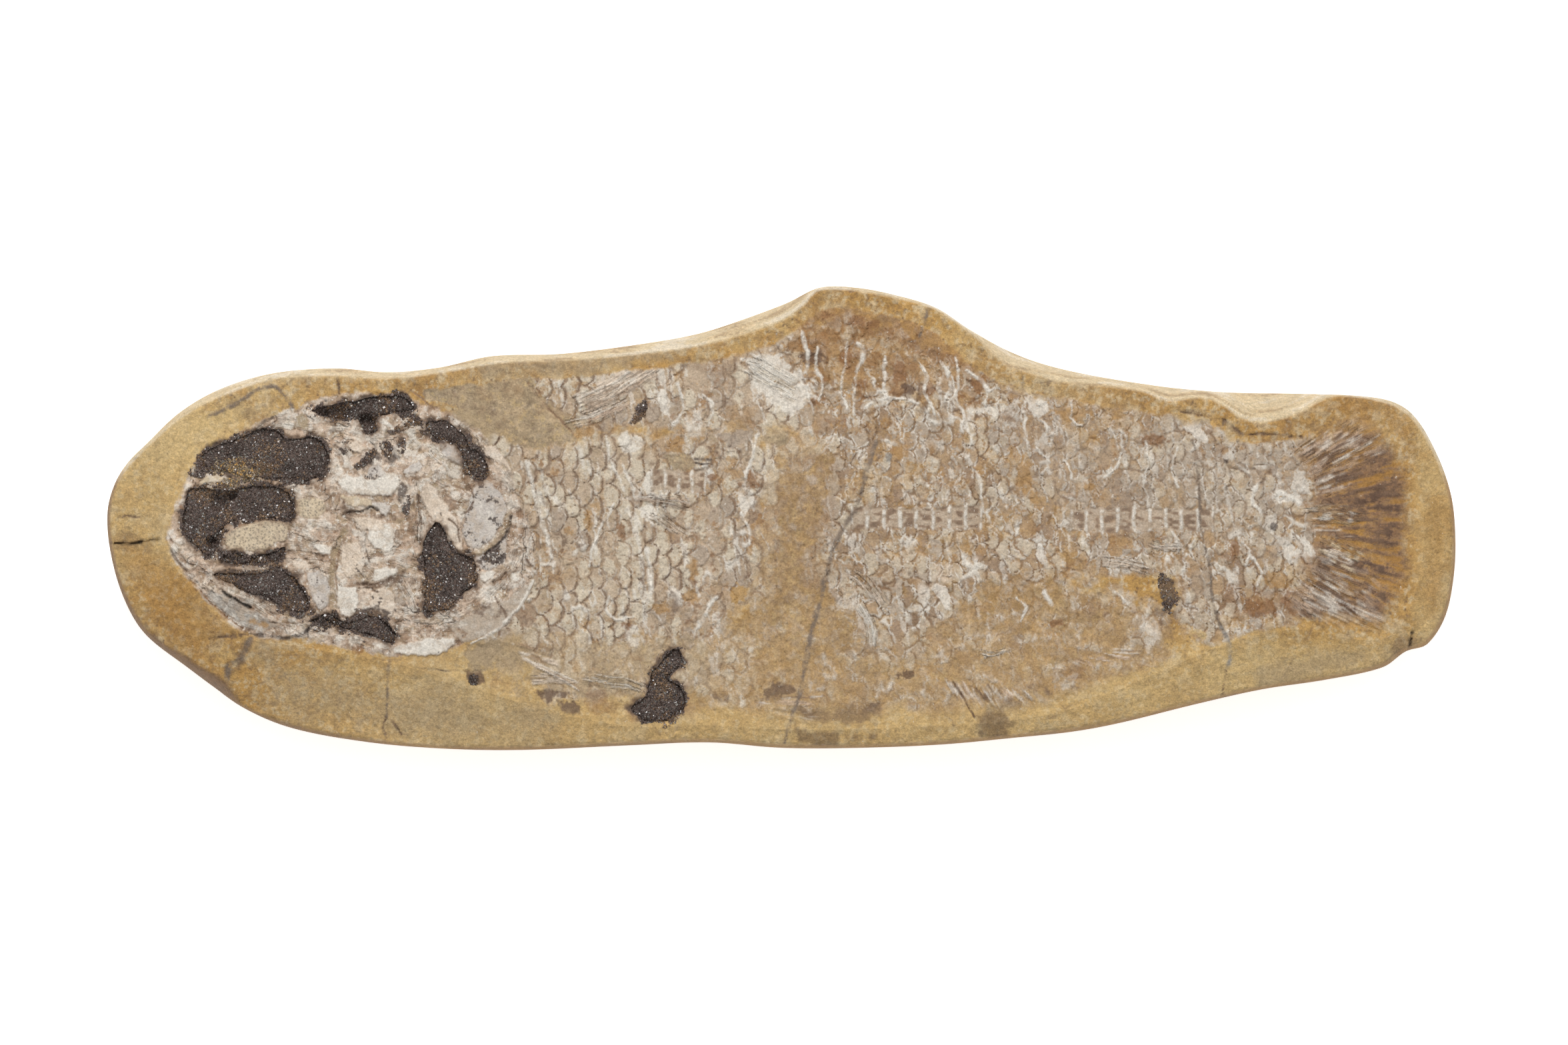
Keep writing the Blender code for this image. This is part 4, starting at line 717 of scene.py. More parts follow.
def rim_height(x, y):
    """Height of the widest line, lower where more of the stone's side shows past the face."""
    shows = gap_to(x, y, FACE_LOOP, True)
    return FACE_LEVEL - MARGIN_FALL - np.minimum(RIM_STEP + RIM_SLOPE * shows, DEEPEST_RIM)


class Surface:
    """Points of the face with their heights, their colours and the marks the material draws."""

    def __init__(self, x, y, z):
        self.x, self.y, self.z = x, y, z
        self.tint = np.tile((*COLOURS["ochre"], 0.0), (len(x), 1))
        self.marks = np.zeros((len(x), 3))
        self.fibres = np.zeros((len(x), 3))

    def around(self, line, reach):
        """Numbers of the points in the box around a line."""
        low, high = np.min(line, axis=0) - reach, np.max(line, axis=0) + reach
        inside = (self.x > low[0]) & (self.x < high[0]) & (self.y > low[1]) & (self.y < high[1])
        return np.flatnonzero(inside)

    def paint(self, spots, colour, strength):
        """Moves the points' tint towards a colour, by a share from 0 to 1 for each point."""
        share = np.clip(strength, 0, 1)[:, None]
        self.tint[spots] += (np.array((*COLOURS[colour], SHEEN.get(colour, 0.6))) - self.tint[spots]) * share

    def brush(self, spots=slice(None)):
        """The x and y of some of the points, or of all of them, and a brush that paints them."""
        return self.x[spots], self.y[spots], partial(self.paint, spots)

    def patch(self, outline, soft, ragged, seed):
        """Points in and around an outline, and how far each is inside it, from 0 to 1."""
        loop = np.array(outline, float).reshape(-1, 2)
        spots = self.around(loop, soft + 2 * ragged)
        x, y = self.x[spots], self.y[spots]
        depth = gap_to(x, y, loop, True) * np.where(within(x, y, loop), 1, -1)
        depth += ragged * clouds(x, y, 1.6 * ragged + 1.2, seed, 4, 0.65)
        return spots, ease(depth / soft / 2 + 0.5)

    def blotch(self, outline, soft, ragged, strength, seed):
        """A patch that breaks up into spots where it is weak."""
        spots, share = self.patch(outline, soft, ragged, seed)
        spotted = clouds(self.x[spots], self.y[spots], 3.8, seed + 1, 5, 0.7)
        cover = ease(0.5 + 1.1 * (2 * share * strength - 1 + 0.85 * spotted))
        return spots, cover * ease(share * 4) * (0.55 + 0.45 * strength)

    def ridge(self, line, half_width, rise, colour, strength, seed, ragged=0.35):
        """A rounded ridge, or a groove where the rise is negative, painted in one colour."""
        line = along(line, 2.0)
        spots = self.around(line, half_width * 2 + ragged * 3)
        x, y = self.x[spots], self.y[spots]
        wide = half_width * (1 + 0.5 * clouds(x, y, 4, seed + 7))
        gap = gap_to(x + ragged * clouds(x, y, 3, seed), y + ragged * clouds(x, y, 3, seed + 5), line)
        uneven = ease(0.75 + 1.3 * clouds(x, y, 2.4, seed + 9, 4, 0.7))
        self.z[spots] += rise * ease(1.2 - gap / wide) * (0.5 + 0.5 * uneven)
        self.paint(spots, colour, strength * ease(1.5 - gap / wide) * (0.3 + 0.7 * uneven))

    def grain(self, spots, side, way, strand, rise, pale, dark, strength, seed):
        """Bone fibres side by side: ridges and grooves that run far along and little across."""
        x, y = self.x[spots], self.y[spots]
        side = side + 0.7 * noise(way, side * 0.4, 11, seed + 5) + 0.25 * noise(way, side * 0.4, 4, seed + 6)
        run = noise(way / 8, side / strand, 1, seed) + 0.6 * noise(way / 4, side / strand, 0.52, seed + 1)
        run = 1.2 * run + 0.35 * clouds(x, y, 3.4, seed + 2)
        self.z[spots] += strength * rise * 0.5 * run
        self.paint(spots, dark, strength * ease(-1.8 * run - 0.3) * 0.55)
        self.paint(spots, pale, strength * ease(1.6 * run + 0.25) * 0.85)
        streak = noise(way / 7, side / strand, 0.7, seed + 3) + 0.5 * clouds(x, y, 7, seed + 4)
        self.paint(spots, "white", strength * ease(streak * 4 - 2.1) * 0.6)
        there = self.fibres[spots, 2]
        own = strength > there
        self.fibres[spots[own], :2] = np.column_stack((side / 0.5, way / 5 + 7.0 * seed))[own]
        self.fibres[spots, 2] = np.minimum(np.maximum(strength, there), 1.2 * abs(strength - there))

    def strands(self, line, half_width, strand, rise, pale, dark, seed):
        """A bundle of parallel bone fibres that follow a line, some of them broken off."""
        line = along(line, 2.0)
        length = np.linalg.norm(np.diff(line, axis=0), axis=1).sum()
        spots = self.around(line, half_width * 1.4)
        side, way = beside(self.x[spots], self.y[spots], line)
        lane = side / strand + 0.4 * noise(way, side * 0.5, 6, seed)
        number = np.floor(lane).astype(np.int64)
        first = chance_at(number, number * 0, seed + 5) ** 2 * 0.3 * length
        last = length * (1 - chance_at(number, number * 0, seed + 6) ** 2 * 0.3)
        body = ease((half_width - abs(side)) / half_width * 3)
        body *= ease((way - first) / 2.5) * ease((last - way) / 2.5)
        crest = 0.5 - 0.5 * np.cos(2 * np.pi * lane)
        self.z[spots] += 0.7 * rise * body * (0.3 + 0.7 * crest)
        self.grain(spots, side, way, 0.9 * strand, 0.4 * rise, pale, dark, body * 0.85, seed)
        self.paint(spots, dark, body * ease((0.25 - crest) * 3) * 0.35)
        chosen = chance_at(number, number, seed + 8) > 0.7
        self.paint(spots, "white", body * ease((crest - 0.55) * 3) * chosen * 0.5)


def stone_colours(face):
    """Colours of the bare stone: ochre, paler towards the upper left, deeper at the tail's end."""
    x, y, paint = face.brush()
    slow, middling = clouds(x, y, 60, 11), clouds(x, y, 17, 12, 5, 0.6)
    fine, grit = clouds(x, y, 4.5, 13, 4, 0.65), clouds(x, y, 1.7, 23, 2, 0.8)
    paint("ochre_pale", ease((-150 - x) / 70) * ease((y + 10) / 50) * 0.60)
    paint("ochre_deep", ease((x - 196) / 40) * 0.30)
    paint("ochre_deep", ease((-200 - x) / 30) * ease((-y - 14) / 26) * 0.45)
    paint("tan", np.clip(slow, 0, 1) * 0.45)
    paint("ochre_pale", np.clip(-slow, 0, 1) * 0.35)
    paint("ochre_deep", ease(middling * 1.6) * 0.28)
    paint("ochre_pale", ease(-middling * 1.6) * 0.32)
    paint("tan_grey", ease((clouds(x, y, 11, 16) - 0.2) * 2) * 0.35)
    paint("ochre_deep", ease((fine - 0.2) * 3) * 0.42)
    paint("sand", ease((-fine - 0.3) * 3.5) * 0.48)
    paint("sand", ease((grit - 0.40) * 4) * 0.60)
    paint("umber", ease((-grit - 0.50) * 4) * 0.32)
    scratch_x, scratch_y = x * 0.3 + y * 0.1 + 1.2 * clouds(x, y, 9, 20), y + 1.2 * clouds(x, y, 9, 22)
    scratch = flakes(scratch_x, scratch_y, 6.5, 25)[1]
    scratched = ease(1.2 - scratch / 0.16) * ease((clouds(x, y, 12, 26) - 0.25) * 5)
    scratched *= ~within(x, y, closed_curve(FISH, 3.0))
    paint("umber", scratched * 0.55)
    face.z -= 0.3 * scratched
    pit, _, which = flakes(x, y, 2.7, 27)
    pitted = ease(1.5 - pit / 0.42) * (which > 0.72) * ease((clouds(x, y, 14, 28) - 0.05) * 4)
    paint("umber", pitted * 0.75)
    face.z -= 0.35 * pitted
    paint("umber", ease((clouds(x, y, 3.2, 14) - 0.60) * 4) * 0.45)
    paint("umber", ease((middling - 0.45) * 4) * ease(fine * 2) * 0.40)
    paint("ochre_pale", ease((-y - 36) / 26) * ease((x + 220) / 90) * 0.50)
    paint("ochre_pale", ease((x - 240) / 8) * 0.62)
    paint("ochre_pale", ease((-y - 44) / 8) * ease((x - 150) / 20) * 0.40)
    paint("ochre_pale", ease((-215 - x) / 20) * ease((y + 30) / 20) * 0.45)
    face.marks[:, 2] += 0.28 + 0.25 * middling
    face.marks[:, 0] += 0.22
    bent_x, bent_y = x + 2.5 * clouds(x, y, 9, 17), y + 2.5 * clouds(x, y, 9, 18)
    _, border, own = flakes(bent_x * 0.7, bent_y * 1.3, 14, 19)
    step = (own - 0.5) * ease(border / 0.7)
    face.z += 0.30 * step + 0.22 * clouds(x, y, 2.6, 15, 3, 0.7) + 0.22 * middling
    paint("umber", ease(1 - border / 0.4) * ease((clouds(x, y, 22, 24) - 0.1) * 4) * 0.40)
    # Stains and breaks from the table, with the painted shadow on the lower-left ledge.
    for seed, (colour, soft, ragged, strength, outline) in enumerate(STONE_MARKS_AND_SHADOW):
        spots, share = face.patch(outline, soft, ragged, 1400 + 3 * seed)
        face.paint(spots, colour, share * strength)


def side_colours_and_shade(face):
    """Colours of the stone's side where it shows past the face's edge: sandy and streaked, paler on the upper
    side as painted light and darker on the lower side as painted shade.
    """
    x, y, paint = face.brush()
    bare = ~within(x, y, FACE_LOOP)
    depth = gap_to(x, y, FACE_LOOP, True) * bare
    streak = clouds(x / 7, depth * 2.2 + y * 0.2, 3, 21)
    upper = ease((y - 10) / 12)
    back, front = ease(depth / 1.2) * upper, ease(depth / 1.2) * (1 - upper)
    # The upper side: pale sand with streaks, partly the stone's own sand and partly painted light from above.
    paint("sand", back * 0.9)
    paint("ochre", back * ease(streak * 1.6) * 0.35)
    paint("umber", back * ease((streak - 0.35) * 5) * 0.35)
    paint("white", back * ease((-streak - 0.30) * 4) * 0.35)
    # The lower side: darker ochre and umber, partly painted shade where the side turns away from the light.
    paint("ochre_deep", front * 0.70)
    paint("umber", front * 0.30)
    paint("umber", ease(depth / 2) * (1 - upper) * ease(streak * 2 - 0.4) * 0.40)
    # Painted shadow along the lower left, where the side lies in shade.
    paint("umber", ease(depth / 1.5) * (1 - upper) * ease((-130 - x) / 60) * 0.45)
    return bare


def scales_at(x, y):
    """The scale that shows at each point: its number, how far inside its free edge the point is,
    and how far the point lies behind the next scale's free edge."""
    length, height, half_long, half_tall = 5.1, 9.2, 5.9, 5.3
    wide = x + 0.9 * clouds(x, y, 8, 51, 3) + 0.25 * clouds(x, y, 1.6, 49, 2)
    tall = (y + 1.0 * clouds(x, y, 9, 52, 3)) * (1 + np.clip(x, 0, 260) / 600)
    wide = wide + np.clip(wide, 0, 260) ** 2 / 1100
    column = np.floor(wide / length).astype(np.int64)
    number, rim, behind = np.zeros(len(x)), np.full(len(x), 3.0), np.full(len(x), 9.0)
    for back in (1, 0, -1, -2):
        c = column + back
        offset = (c % 2) / 2
        r = np.round(tall / height - offset).astype(np.int64)
        middle = (c + 0.5 + 0.34 * (chance_at(c, r, 53) - 0.5)) * length
        level = (r + offset + 0.16 * (chance_at(c, r, 54) - 0.5)) * height
        out = ((abs(wide - middle) / half_long) ** 2.2 + (abs(tall - level) / half_tall) ** 2.8) ** 0.42
        covers = out < 1
        number = np.where(covers, chance_at(c, r, 55), number)
        rim = np.where(covers, (1 - out) * half_long, rim)
        behind = np.where(covers, 9.0, np.minimum(behind, (out - 1) * half_long))
    return number, rim, behind


def body_relief(face):
    """The scaled body: tiled scales with raised free edges over rusty stone, whole in front and
    flaking away towards the tail and the belly."""
    x, y, paint = face.brush()
    share = np.zeros(len(x))
    for seed, (strength, outline) in enumerate(SCALED):
        spots, mask = face.patch(outline, 3.0, 5.0, 60 + seed)
        share[spots] = np.maximum(share[spots], mask * strength)
    number, rim, behind = scales_at(x, y)
    wear, fine = clouds(x, y, 15, 57, 4, 0.6), clouds(x, y, 2.6, 58, 4, 0.75)
    rear, tone = ease((x + 4) / 30), (number * 7.31) % 1
    bent = x + 2.2 * clouds(x, y, 6, 72), y + 2.2 * clouds(x, y, 6, 73)
    _, shard_rim, shard = flakes(bent[0] * 1.15 + bent[1] * 0.35, bent[1] * 0.75, 6.2, 76)
    gap = 0.10 + 0.8 * ease(0.35 + wear + (number - 0.5)) * (1 - 0.4 * rear)
    inside = np.minimum(rim - gap, behind - 0.2) + 0.30 * fine
    shown = inside
    inside = np.where(rear * 0.40 > chance_at(np.floor(number * 999).astype(np.int64), 0, 70),
                      shard_rim - 0.12 + 0.12 * fine, inside)
    lost = ease((number - 0.86) * 40) * ease(0.8 + wear)
    whole = ease(inside / 0.35) * (1 - lost) * (1 - ease((fine + 0.5 * wear - 0.62) * 7))
    step = (0.68 - 0.07 * rim) * (1 - 0.15 * rear)
    face.z += share * (step * whole + 0.40 * rear * (shard - 0.5) - 0.25 + 0.15 * fine)
    paint("scale", share * 0.85)
    paint("brown", share * ease((clouds(x, y, 9, 47, 4, 0.6) - 0.15) * 3) * (1 - whole) * 0.60)
    paint("scale_grey", share * whole * ease((tone - 0.80) * 8) * 0.65)
    paint("tan", share * whole * ease(clouds(x, y, 6, 44, 4, 0.7) * 2.4 - 0.4) * 0.45)
    own_tone = np.where(inside == shown, tone, (shard * 5.37) % 1)
    paint("lilac", share * rear * whole * ease((own_tone - 0.55) * 8) * 0.65)
    paint("brown", share * rear * whole * ease((0.26 - own_tone) * 12) * 0.65)
    paint("orange", share * rear * (1 - whole) * 0.55)
    paint("orange", share * rear * whole * ease((shard - 0.86) * 30) * 0.50)
    smooth = ease((inside - 0.55 + 0.9 * clouds(x, y, 3.4, 40, 3, 0.5)) / 0.25) * ease((0.66 - own_tone) * 40)
    smooth *= ease((own_tone - 0.20 * rear) * 40)
    paint("plate", share * whole * smooth * (0.85 - 0.25 * rear))
    face.z += share * whole * smooth * 0.15
    crumbs = ease((clouds(x * 1.7 + 0.3 * y, y * 0.45, 4.2, 41, 4, 0.6) - 0.42) * 6)
    paint("white", share * crumbs * 0.60)
    face.z += share * crumbs * 0.20
    rust = ease((clouds(x, y, 4.4, 59, 5, 0.75) - 0.26) * 7) * ease(0.6 + clouds(x, y, 30, 48))
    paint("orange", share * rust * 0.65)
    paint("rust", share * rust * ease((clouds(x, y, 3, 56, 4, 0.8) - 0.2) * 6) * 0.50)
    # A dark line just past each scale's free edge: the brown gap between scales, darkened as painted shadow
    # under the raised edge.
    paint("umber", share * ease(1.3 - abs(inside + 0.1) / 0.35) * ease(0.7 - wear) * 0.70)
    pale = ease(1.3 - abs(inside - 0.35) / 0.32) * ease(0.3 + 1.6 * clouds(x, y, 3.4, 71, 3, 0.6))
    paint("white", share * pale * (1 - lost) * (0.45 + 0.40 * rear))
    mellow = clouds(x, y, 10, 46, 5, 0.7)
    paint("brown", share * rear * ease(mellow * 2.2 - 0.3) * 0.30)
    paint("ochre", share * rear * ease(-mellow * 2.5 - 0.6) * 0.40)
    peak = ease((y - 36) / 10) * ease((x + 2) / 10) * ease((100 - x) / 10) * ease((78 - y) / 6)
    row = flakes(bent[0] + 0.2 * bent[1], bent[1] * 0.42, 7.2, 74)[1]
    rusted = ease(clouds(x, y, 5, 39, 4, 0.7) * 4 + (y - 60) / 20)
    paint("orange", peak * rusted * 0.60)
    paint("rust", peak * rusted * ease(clouds(x, y, 4.2, 38, 3, 0.6) * 5 + (y - 66) / 20) * 0.75)
    paint("wine", peak * ease((clouds(x, y, 4, 29, 3, 0.6) - 0.40) * 6) * 0.50)
    broken = ease(1.4 - row / 0.35) * ease((clouds(x, y, 10, 75) - 0.30) * 4) * ease(1 - (y - 64) / 10)
    paint("white", share * broken * 0.80)
    face.z += share * broken * 0.40
    chip = ease((shard - 0.90) * 60) * ease(shard_rim / 0.3) * ease(clouds(x, y, 16, 77) * 3 + 0.3)
    paint("white", share * chip * 0.75)
    dark_line = flakes(bent[0] * 1.2, bent[1], 13, 78)[1]
    dark_line = share * ease(1.2 - dark_line / 0.3) * ease(clouds(x, y, 8, 79) * 4)
    paint("umber", dark_line * (0.6 - 0.25 * rear))
    paint("umber", share * ease((-fine - 0.62) * 5) * 0.45)
    paint("rust", share * ease((clouds(x, y, 2.2, 55, 3, 0.7) - 0.6) * 8) * ease(0.5 + wear) * 0.50)
    face.z += share * 0.16 * clouds(x, y, 1.7, 45, 2)
    face.marks[:, 0] += share * 0.10
    face.marks[:, 1] += share * 0.20
    face.marks[:, 2] += share * 0.10


HEAD = (
    -237.6, -8, -232, 6, -228, 17, -218, 28, -203, 35.6, -188, 42, -172, 47.4, -152, 51, -142, 46, -130, 42,
    -116, 33, -104, 15, -95, -6, -96, -25, -106, -41, -126, -48.6, -148, -53, -166, -50, -184, -45.6, -204,
    -46, -216, -37, -227, -26)


def head_relief(face):
    """The skull: bone that splits along its grain, with smooth plates, rods, grooves, stains and painted
    shadows.
    """
    spots, share = face.patch(HEAD, 1.0, 1.4, 31)
    x, y, paint = face.brush(spots)
    bent_x, bent_y = x + 1.6 * clouds(x, y, 6, 32, 4, 0.6), y + 1.6 * clouds(x, y, 6, 33, 4, 0.6)
    worn, fine = clouds(x, y, 9, 30, 5, 0.65), clouds(x, y, 2.4, 36, 3, 0.75)
    _, crack, small = flakes(bent_x * 0.8, bent_y, 3.4, 35)
    face.z[spots] += share * (0.7 * (small - 0.5) * ease(crack / 0.4) + 0.7 * worn + 0.35 * fine)
    paint("bone", share)
    paint("brown", share * ease((clouds(x, y, 5, 28, 5, 0.7) - 0.1) * 3) * 0.45)
    paint("bone_pale", share * ease(worn * 2 + 0.3) * 0.55)
    paint("tan", share * ease(-worn * 2 - 0.1) * 0.55)
    lines = [along(bundle[0], 2.0) for bundle in SKULL_FIBRES]
    reach = np.array([gap_to(bent_x, bent_y, line) / bundle[1] for line, bundle in zip(lines, SKULL_FIBRES)])
    loose = clouds(x, y, 6, 26, 4, 0.7)
    owner, (near, second) = reach.argmin(axis=0), np.partition(reach, 1, axis=0)[:2]
    for number, (line, (_, _, strand, rise, pale, dark)) in enumerate(zip(lines, SKULL_FIBRES)):
        own = owner == number
        start, end = line[0] * 7 - line[1] * 6, line[-1] * 7 - line[-2] * 6
        side, way = beside(x[own], y[own], np.vstack((start, line, end)))
        strength = share[own] * (0.10 + 0.70 * ease(1.5 - near[own])) * ease(0.65 + 1.5 * loose[own])
        face.grain(spots[own], side, way, strand, rise, pale, dark, strength, 100 + 7 * number)
    split = share * ease(1.2 - (second - near) / 0.20) * ease(near) * ease(0.6 + worn)
    paint("umber", split * 0.30)
    face.z[spots] -= 0.3 * split
    _, border, tiny = flakes(bent_x, bent_y * 1.2, 2.1, 27)
    paint("white", share * ease((small - 0.72) * 20) * ease(crack / 0.4) * 0.60)
    paint("bone_pale", share * ease((tiny - 0.78) * 20) * ease(border / 0.3) * 0.60)
    paint("tan", share * ease((0.20 - tiny) * 20) * ease(border / 0.3) * 0.55)
    paint("white", share * ease((fine - 0.45) * 5) * 0.55)
    paint("brown", share * ease((0.22 - small) * 20) * ease(crack / 0.4) * 0.60)
    paint("umber", share * ease((clouds(x, y, 3.0, 44, 5, 0.8) - 0.42) * 6) * 0.55)
    paint("umber", share * ease(1.1 - crack / 0.3) * ease((clouds(x, y, 9, 37) - 0.2) * 3) * 0.25)
    paint("umber", share * ease((-fine - 0.55) * 5) * 0.50)
    stain = clouds(x, y, 8, 43, 5, 0.75)
    paint("rust", share * ease((stain - 0.15) * 3) * 0.28)
    paint("white", share * ease((-stain - 0.30) * 4) * 0.35)
    face.marks[spots, 0] += share * 0.35
    face.marks[spots, 2] += share * 0.25
    for seed, (colour, rise, speckle, outline) in enumerate(SKULL_PLATES):
        spots, share = face.patch(outline, 0.4, 0.8, 300 + 7 * seed)
        x, y, paint = face.brush(spots)
        level = face.level[spots] + rise + 0.2 * clouds(x, y, 5, 301 + 7 * seed)
        face.z[spots] += (level - face.z[spots]) * share * 0.85
        # Brown along each plate's edge: painted shadow where the raised plate steps down to the bone around
        # it.
        paint("brown", ease(share * 6) * ease((0.8 - share) * 3) * 0.6)
        mottle = clouds(x, y, 3.4, 302 + 7 * seed, 5, 0.75)
        paint(colour, share * (0.60 if colour == "slate" else 0.90 + 0.2 * mottle))
        paint("scale", share * ease((mottle - 0.10) * 4) * 0.50)
        paint("white", share * ease((-mottle - 0.15) * 4) * (0.35 if speckle >= 0 else 0))
        dark = ease((clouds(x, y, 3.2, 303 + 7 * seed, 5, 0.75) + speckle - 0.95) * 7)
        if speckle < 0:
            dark = ease(1.5 - flakes(x, y, 1.25, 304 + 7 * seed)[0] / 0.28) * 0.60
        paint("slate", share * ease(dark * 2) * 0.4)
        paint("dark", share * dark * 0.85)
        face.z[spots] -= share * dark * 0.25
        face.marks[spots] *= 1 - 0.7 * share[:, None]
        face.fibres[spots, 2] *= 1 - 0.75 * share
    for seed, (colour, half_width, rise, line) in enumerate(SKULL_LINES):
        face.ridge(line, half_width, rise, colour, 0.85, 400 + 9 * seed)
    # Stains and painted shadows from the table: darker and a little sunk.
    for seed, (colour, soft, ragged, strength, outline) in enumerate(SKULL_STAINS_AND_SHADOWS):
        spots, share = face.blotch(outline, soft, ragged, strength, 500 + 3 * seed)
        face.paint(spots, colour, share)
        face.z[spots] -= 0.5 * share


def hollow_rims_and_shade(face):
    """Darker bone around every hollow: crumbling brown bone, with painted shade darkest at the hollow's lip.
    """
    for seed, loop in enumerate(HOLLOW_LOOPS.values()):
        spots = face.around(loop, 5)
        x, y, paint = face.brush(spots)
        gap = gap_to(x, y, loop, True) + 1.7 * clouds(x, y, 4, 560 + seed, 4, 0.65)
        face.z[spots] -= 0.7 * ease(1 - gap / 1.4)
        # Brown and umber crumbling bone, deepening to painted shade at the lip of the hollow.
        paint("brown", ease(1.2 - gap / 2.6) * 0.55)
        paint("umber", ease(1.2 - gap / 1.6) * 0.70)
        paint("dark", ease(1.2 - gap / 0.5) * 0.70)


def backbone(face):
    """Vertebrae where they show: pale rims with dark, grooved waists between them."""
    for seed, (first, last, middle, count) in enumerate(BACKBONE):
        spots = face.around(np.array(((first, middle), (last, middle))), 8)
        x, y, paint = face.brush(spots)
        side = y - middle + 0.9 * clouds(x, y, 7, 580 + seed)
        place = (x - first + 0.5 * clouds(x, y, 4, 583 + seed)) / (last - first) * count
        number = np.floor(place).astype(np.int64)
        tall = 4.6 + 0.9 * chance_at(number, 0, 586 + seed) + 0.5 * clouds(x, y, 2.4, 589 + seed)
        waist = 1 - abs(2 * (place - number) - 1) ** 4
        share = ease((tall * (1.03 - 0.16 * waist) - abs(side)) / 1.0)
        share *= ease((place + 0.1) * 6) * ease((count + 0.1 - place) * 6)
        share *= ease((clouds(x, y, 8, 592 + seed, 4, 0.65) + 0.9) * 2.5)
        dome = np.sqrt(np.clip(1 - (side / 6) ** 2, 0, 1))
        level = face.level[spots] - 0.9 + dome * (2.1 - 1.3 * waist)
        face.z[spots] += (level - face.z[spots]) * share
        # Brown along the vertebrae's outline: painted shade at their raised edge.
        paint("brown", ease(share * 5) * ease((0.9 - share) * 3) * 0.5)
        paint("scale", share * 0.85)
        groove = noise(x / 3, side, 1.1, 595 + seed) + 0.3 * clouds(x, y, 2, 598 + seed)
        paint("brown", share * ease((waist - 0.55) * 3) * ease(groove * 3 + 0.4) * 0.60)
        paint("umber", share * ease((waist - 0.8) * 6) * ease(groove * 3 - 0.2) * 0.60)
        paint("white", share * ease((0.72 - waist) * 4) * ease(0.9 + 1.5 * groove) * 0.90)
        face.marks[spots, 0] += share * 0.1


TAIL = (
    197, 27, 206, 33, 216, 38, 230, 45, 236, 40, 243, 24, 246, 2, 246, -12, 243, -30, 238, -42, 228, -47,
    216, -45, 203, -37, 196, -33, 201, -24, 206, -12, 203, 0, 206, 10)
TAIL_ROOT = (163, 0)


def tail(face):
    """The tail's web: brown, streaked from the root outwards, darkest between the lobes."""
    spots, share = face.patch(TAIL, 2.0, 2.5, 640)
    x, y, paint = face.brush(spots)
    far, turn = np.hypot(x - TAIL_ROOT[0], y - TAIL_ROOT[1]), np.arctan2(y - TAIL_ROOT[1], x - TAIL_ROOT[0])
    streak = clouds(far / 9, turn * 42, 1.3, 641, 4, 0.7)
    spread = ease((far - 40) / 12) * ease(1.3 - abs(turn + 0.1) * 1.1) * share
    paint("ochre_deep", share * 0.65)
    paint("bone", share * ease((58 - far) / 8) * ease(streak * 2) * 0.6)
    paint("brown", share * ease(0.75 + streak * 1.5) * 0.80)
    speck = clouds(x, y, 2.2, 645, 4, 0.8)
    paint("rust", spread * ease(0.4 + streak * 2 + 0.5 * speck) * 0.65)
    paint("umber", spread * ease(0.2 + streak * 1.5 + 0.9 * speck) * 0.80)
    stained = spread * ease(streak * 2 - 0.3 + 1.2 * speck) * ease(0.6 + clouds(x, y, 6, 644))
    paint("wine", stained * 0.75)
    paint("ochre_deep", spread * ease(-streak * 2 - 0.3 - speck) * 0.65)
    face.z[spots] += share * (0.35 * streak - 0.1)
    lobe = ease((abs(turn) - 0.24) * 6) * ease((76 - far) / 8)
    face.grain(spots, turn * 55, far, 1.8, 0.5, "bone", "brown", share * lobe * 0.6, 650)


def fins(face):
    """Rays of the fins: narrow ridges that spread from a line of feet and break up at their tips."""
    combed = face.fibres.copy()
    for seed, fin in enumerate(FINS):
        (foot, end), first, last, reach, count, half_width, rise, pale, dark = fin
        chance = np.random.default_rng(700 + seed)
        for number in range(count):
            part = number / (count - 1)
            start = np.array(foot) + (np.array(end) - foot) * part + chance.uniform(-0.7, 0.7, 2)
            angle = math.radians(first + (last - first) * part + chance.uniform(-2.5, 2.5))
            far = (reach[0] + (reach[1] - reach[0]) * part) * chance.uniform(0.72, 1.12)
            bend = math.radians(chance.uniform(-4, 4))
            middle = start + far / 2 * np.array((math.cos(angle), math.sin(angle)))
            tip = middle + far / 2 * np.array((math.cos(angle + bend), math.sin(angle + bend)))
            tones = (pale, "bone_pale", "scale", pale, "bone") if chance.random() > 0.25 else (dark, "wine")
            face.strands((start, middle, tip), half_width * chance.uniform(0.9, 1.6),
                         half_width * 2.1, rise * chance.uniform(0.5, 0.9),
                         tones[int(chance.integers(len(tones)))], dark, 720 + 31 * seed + number)
    face.fibres = combed


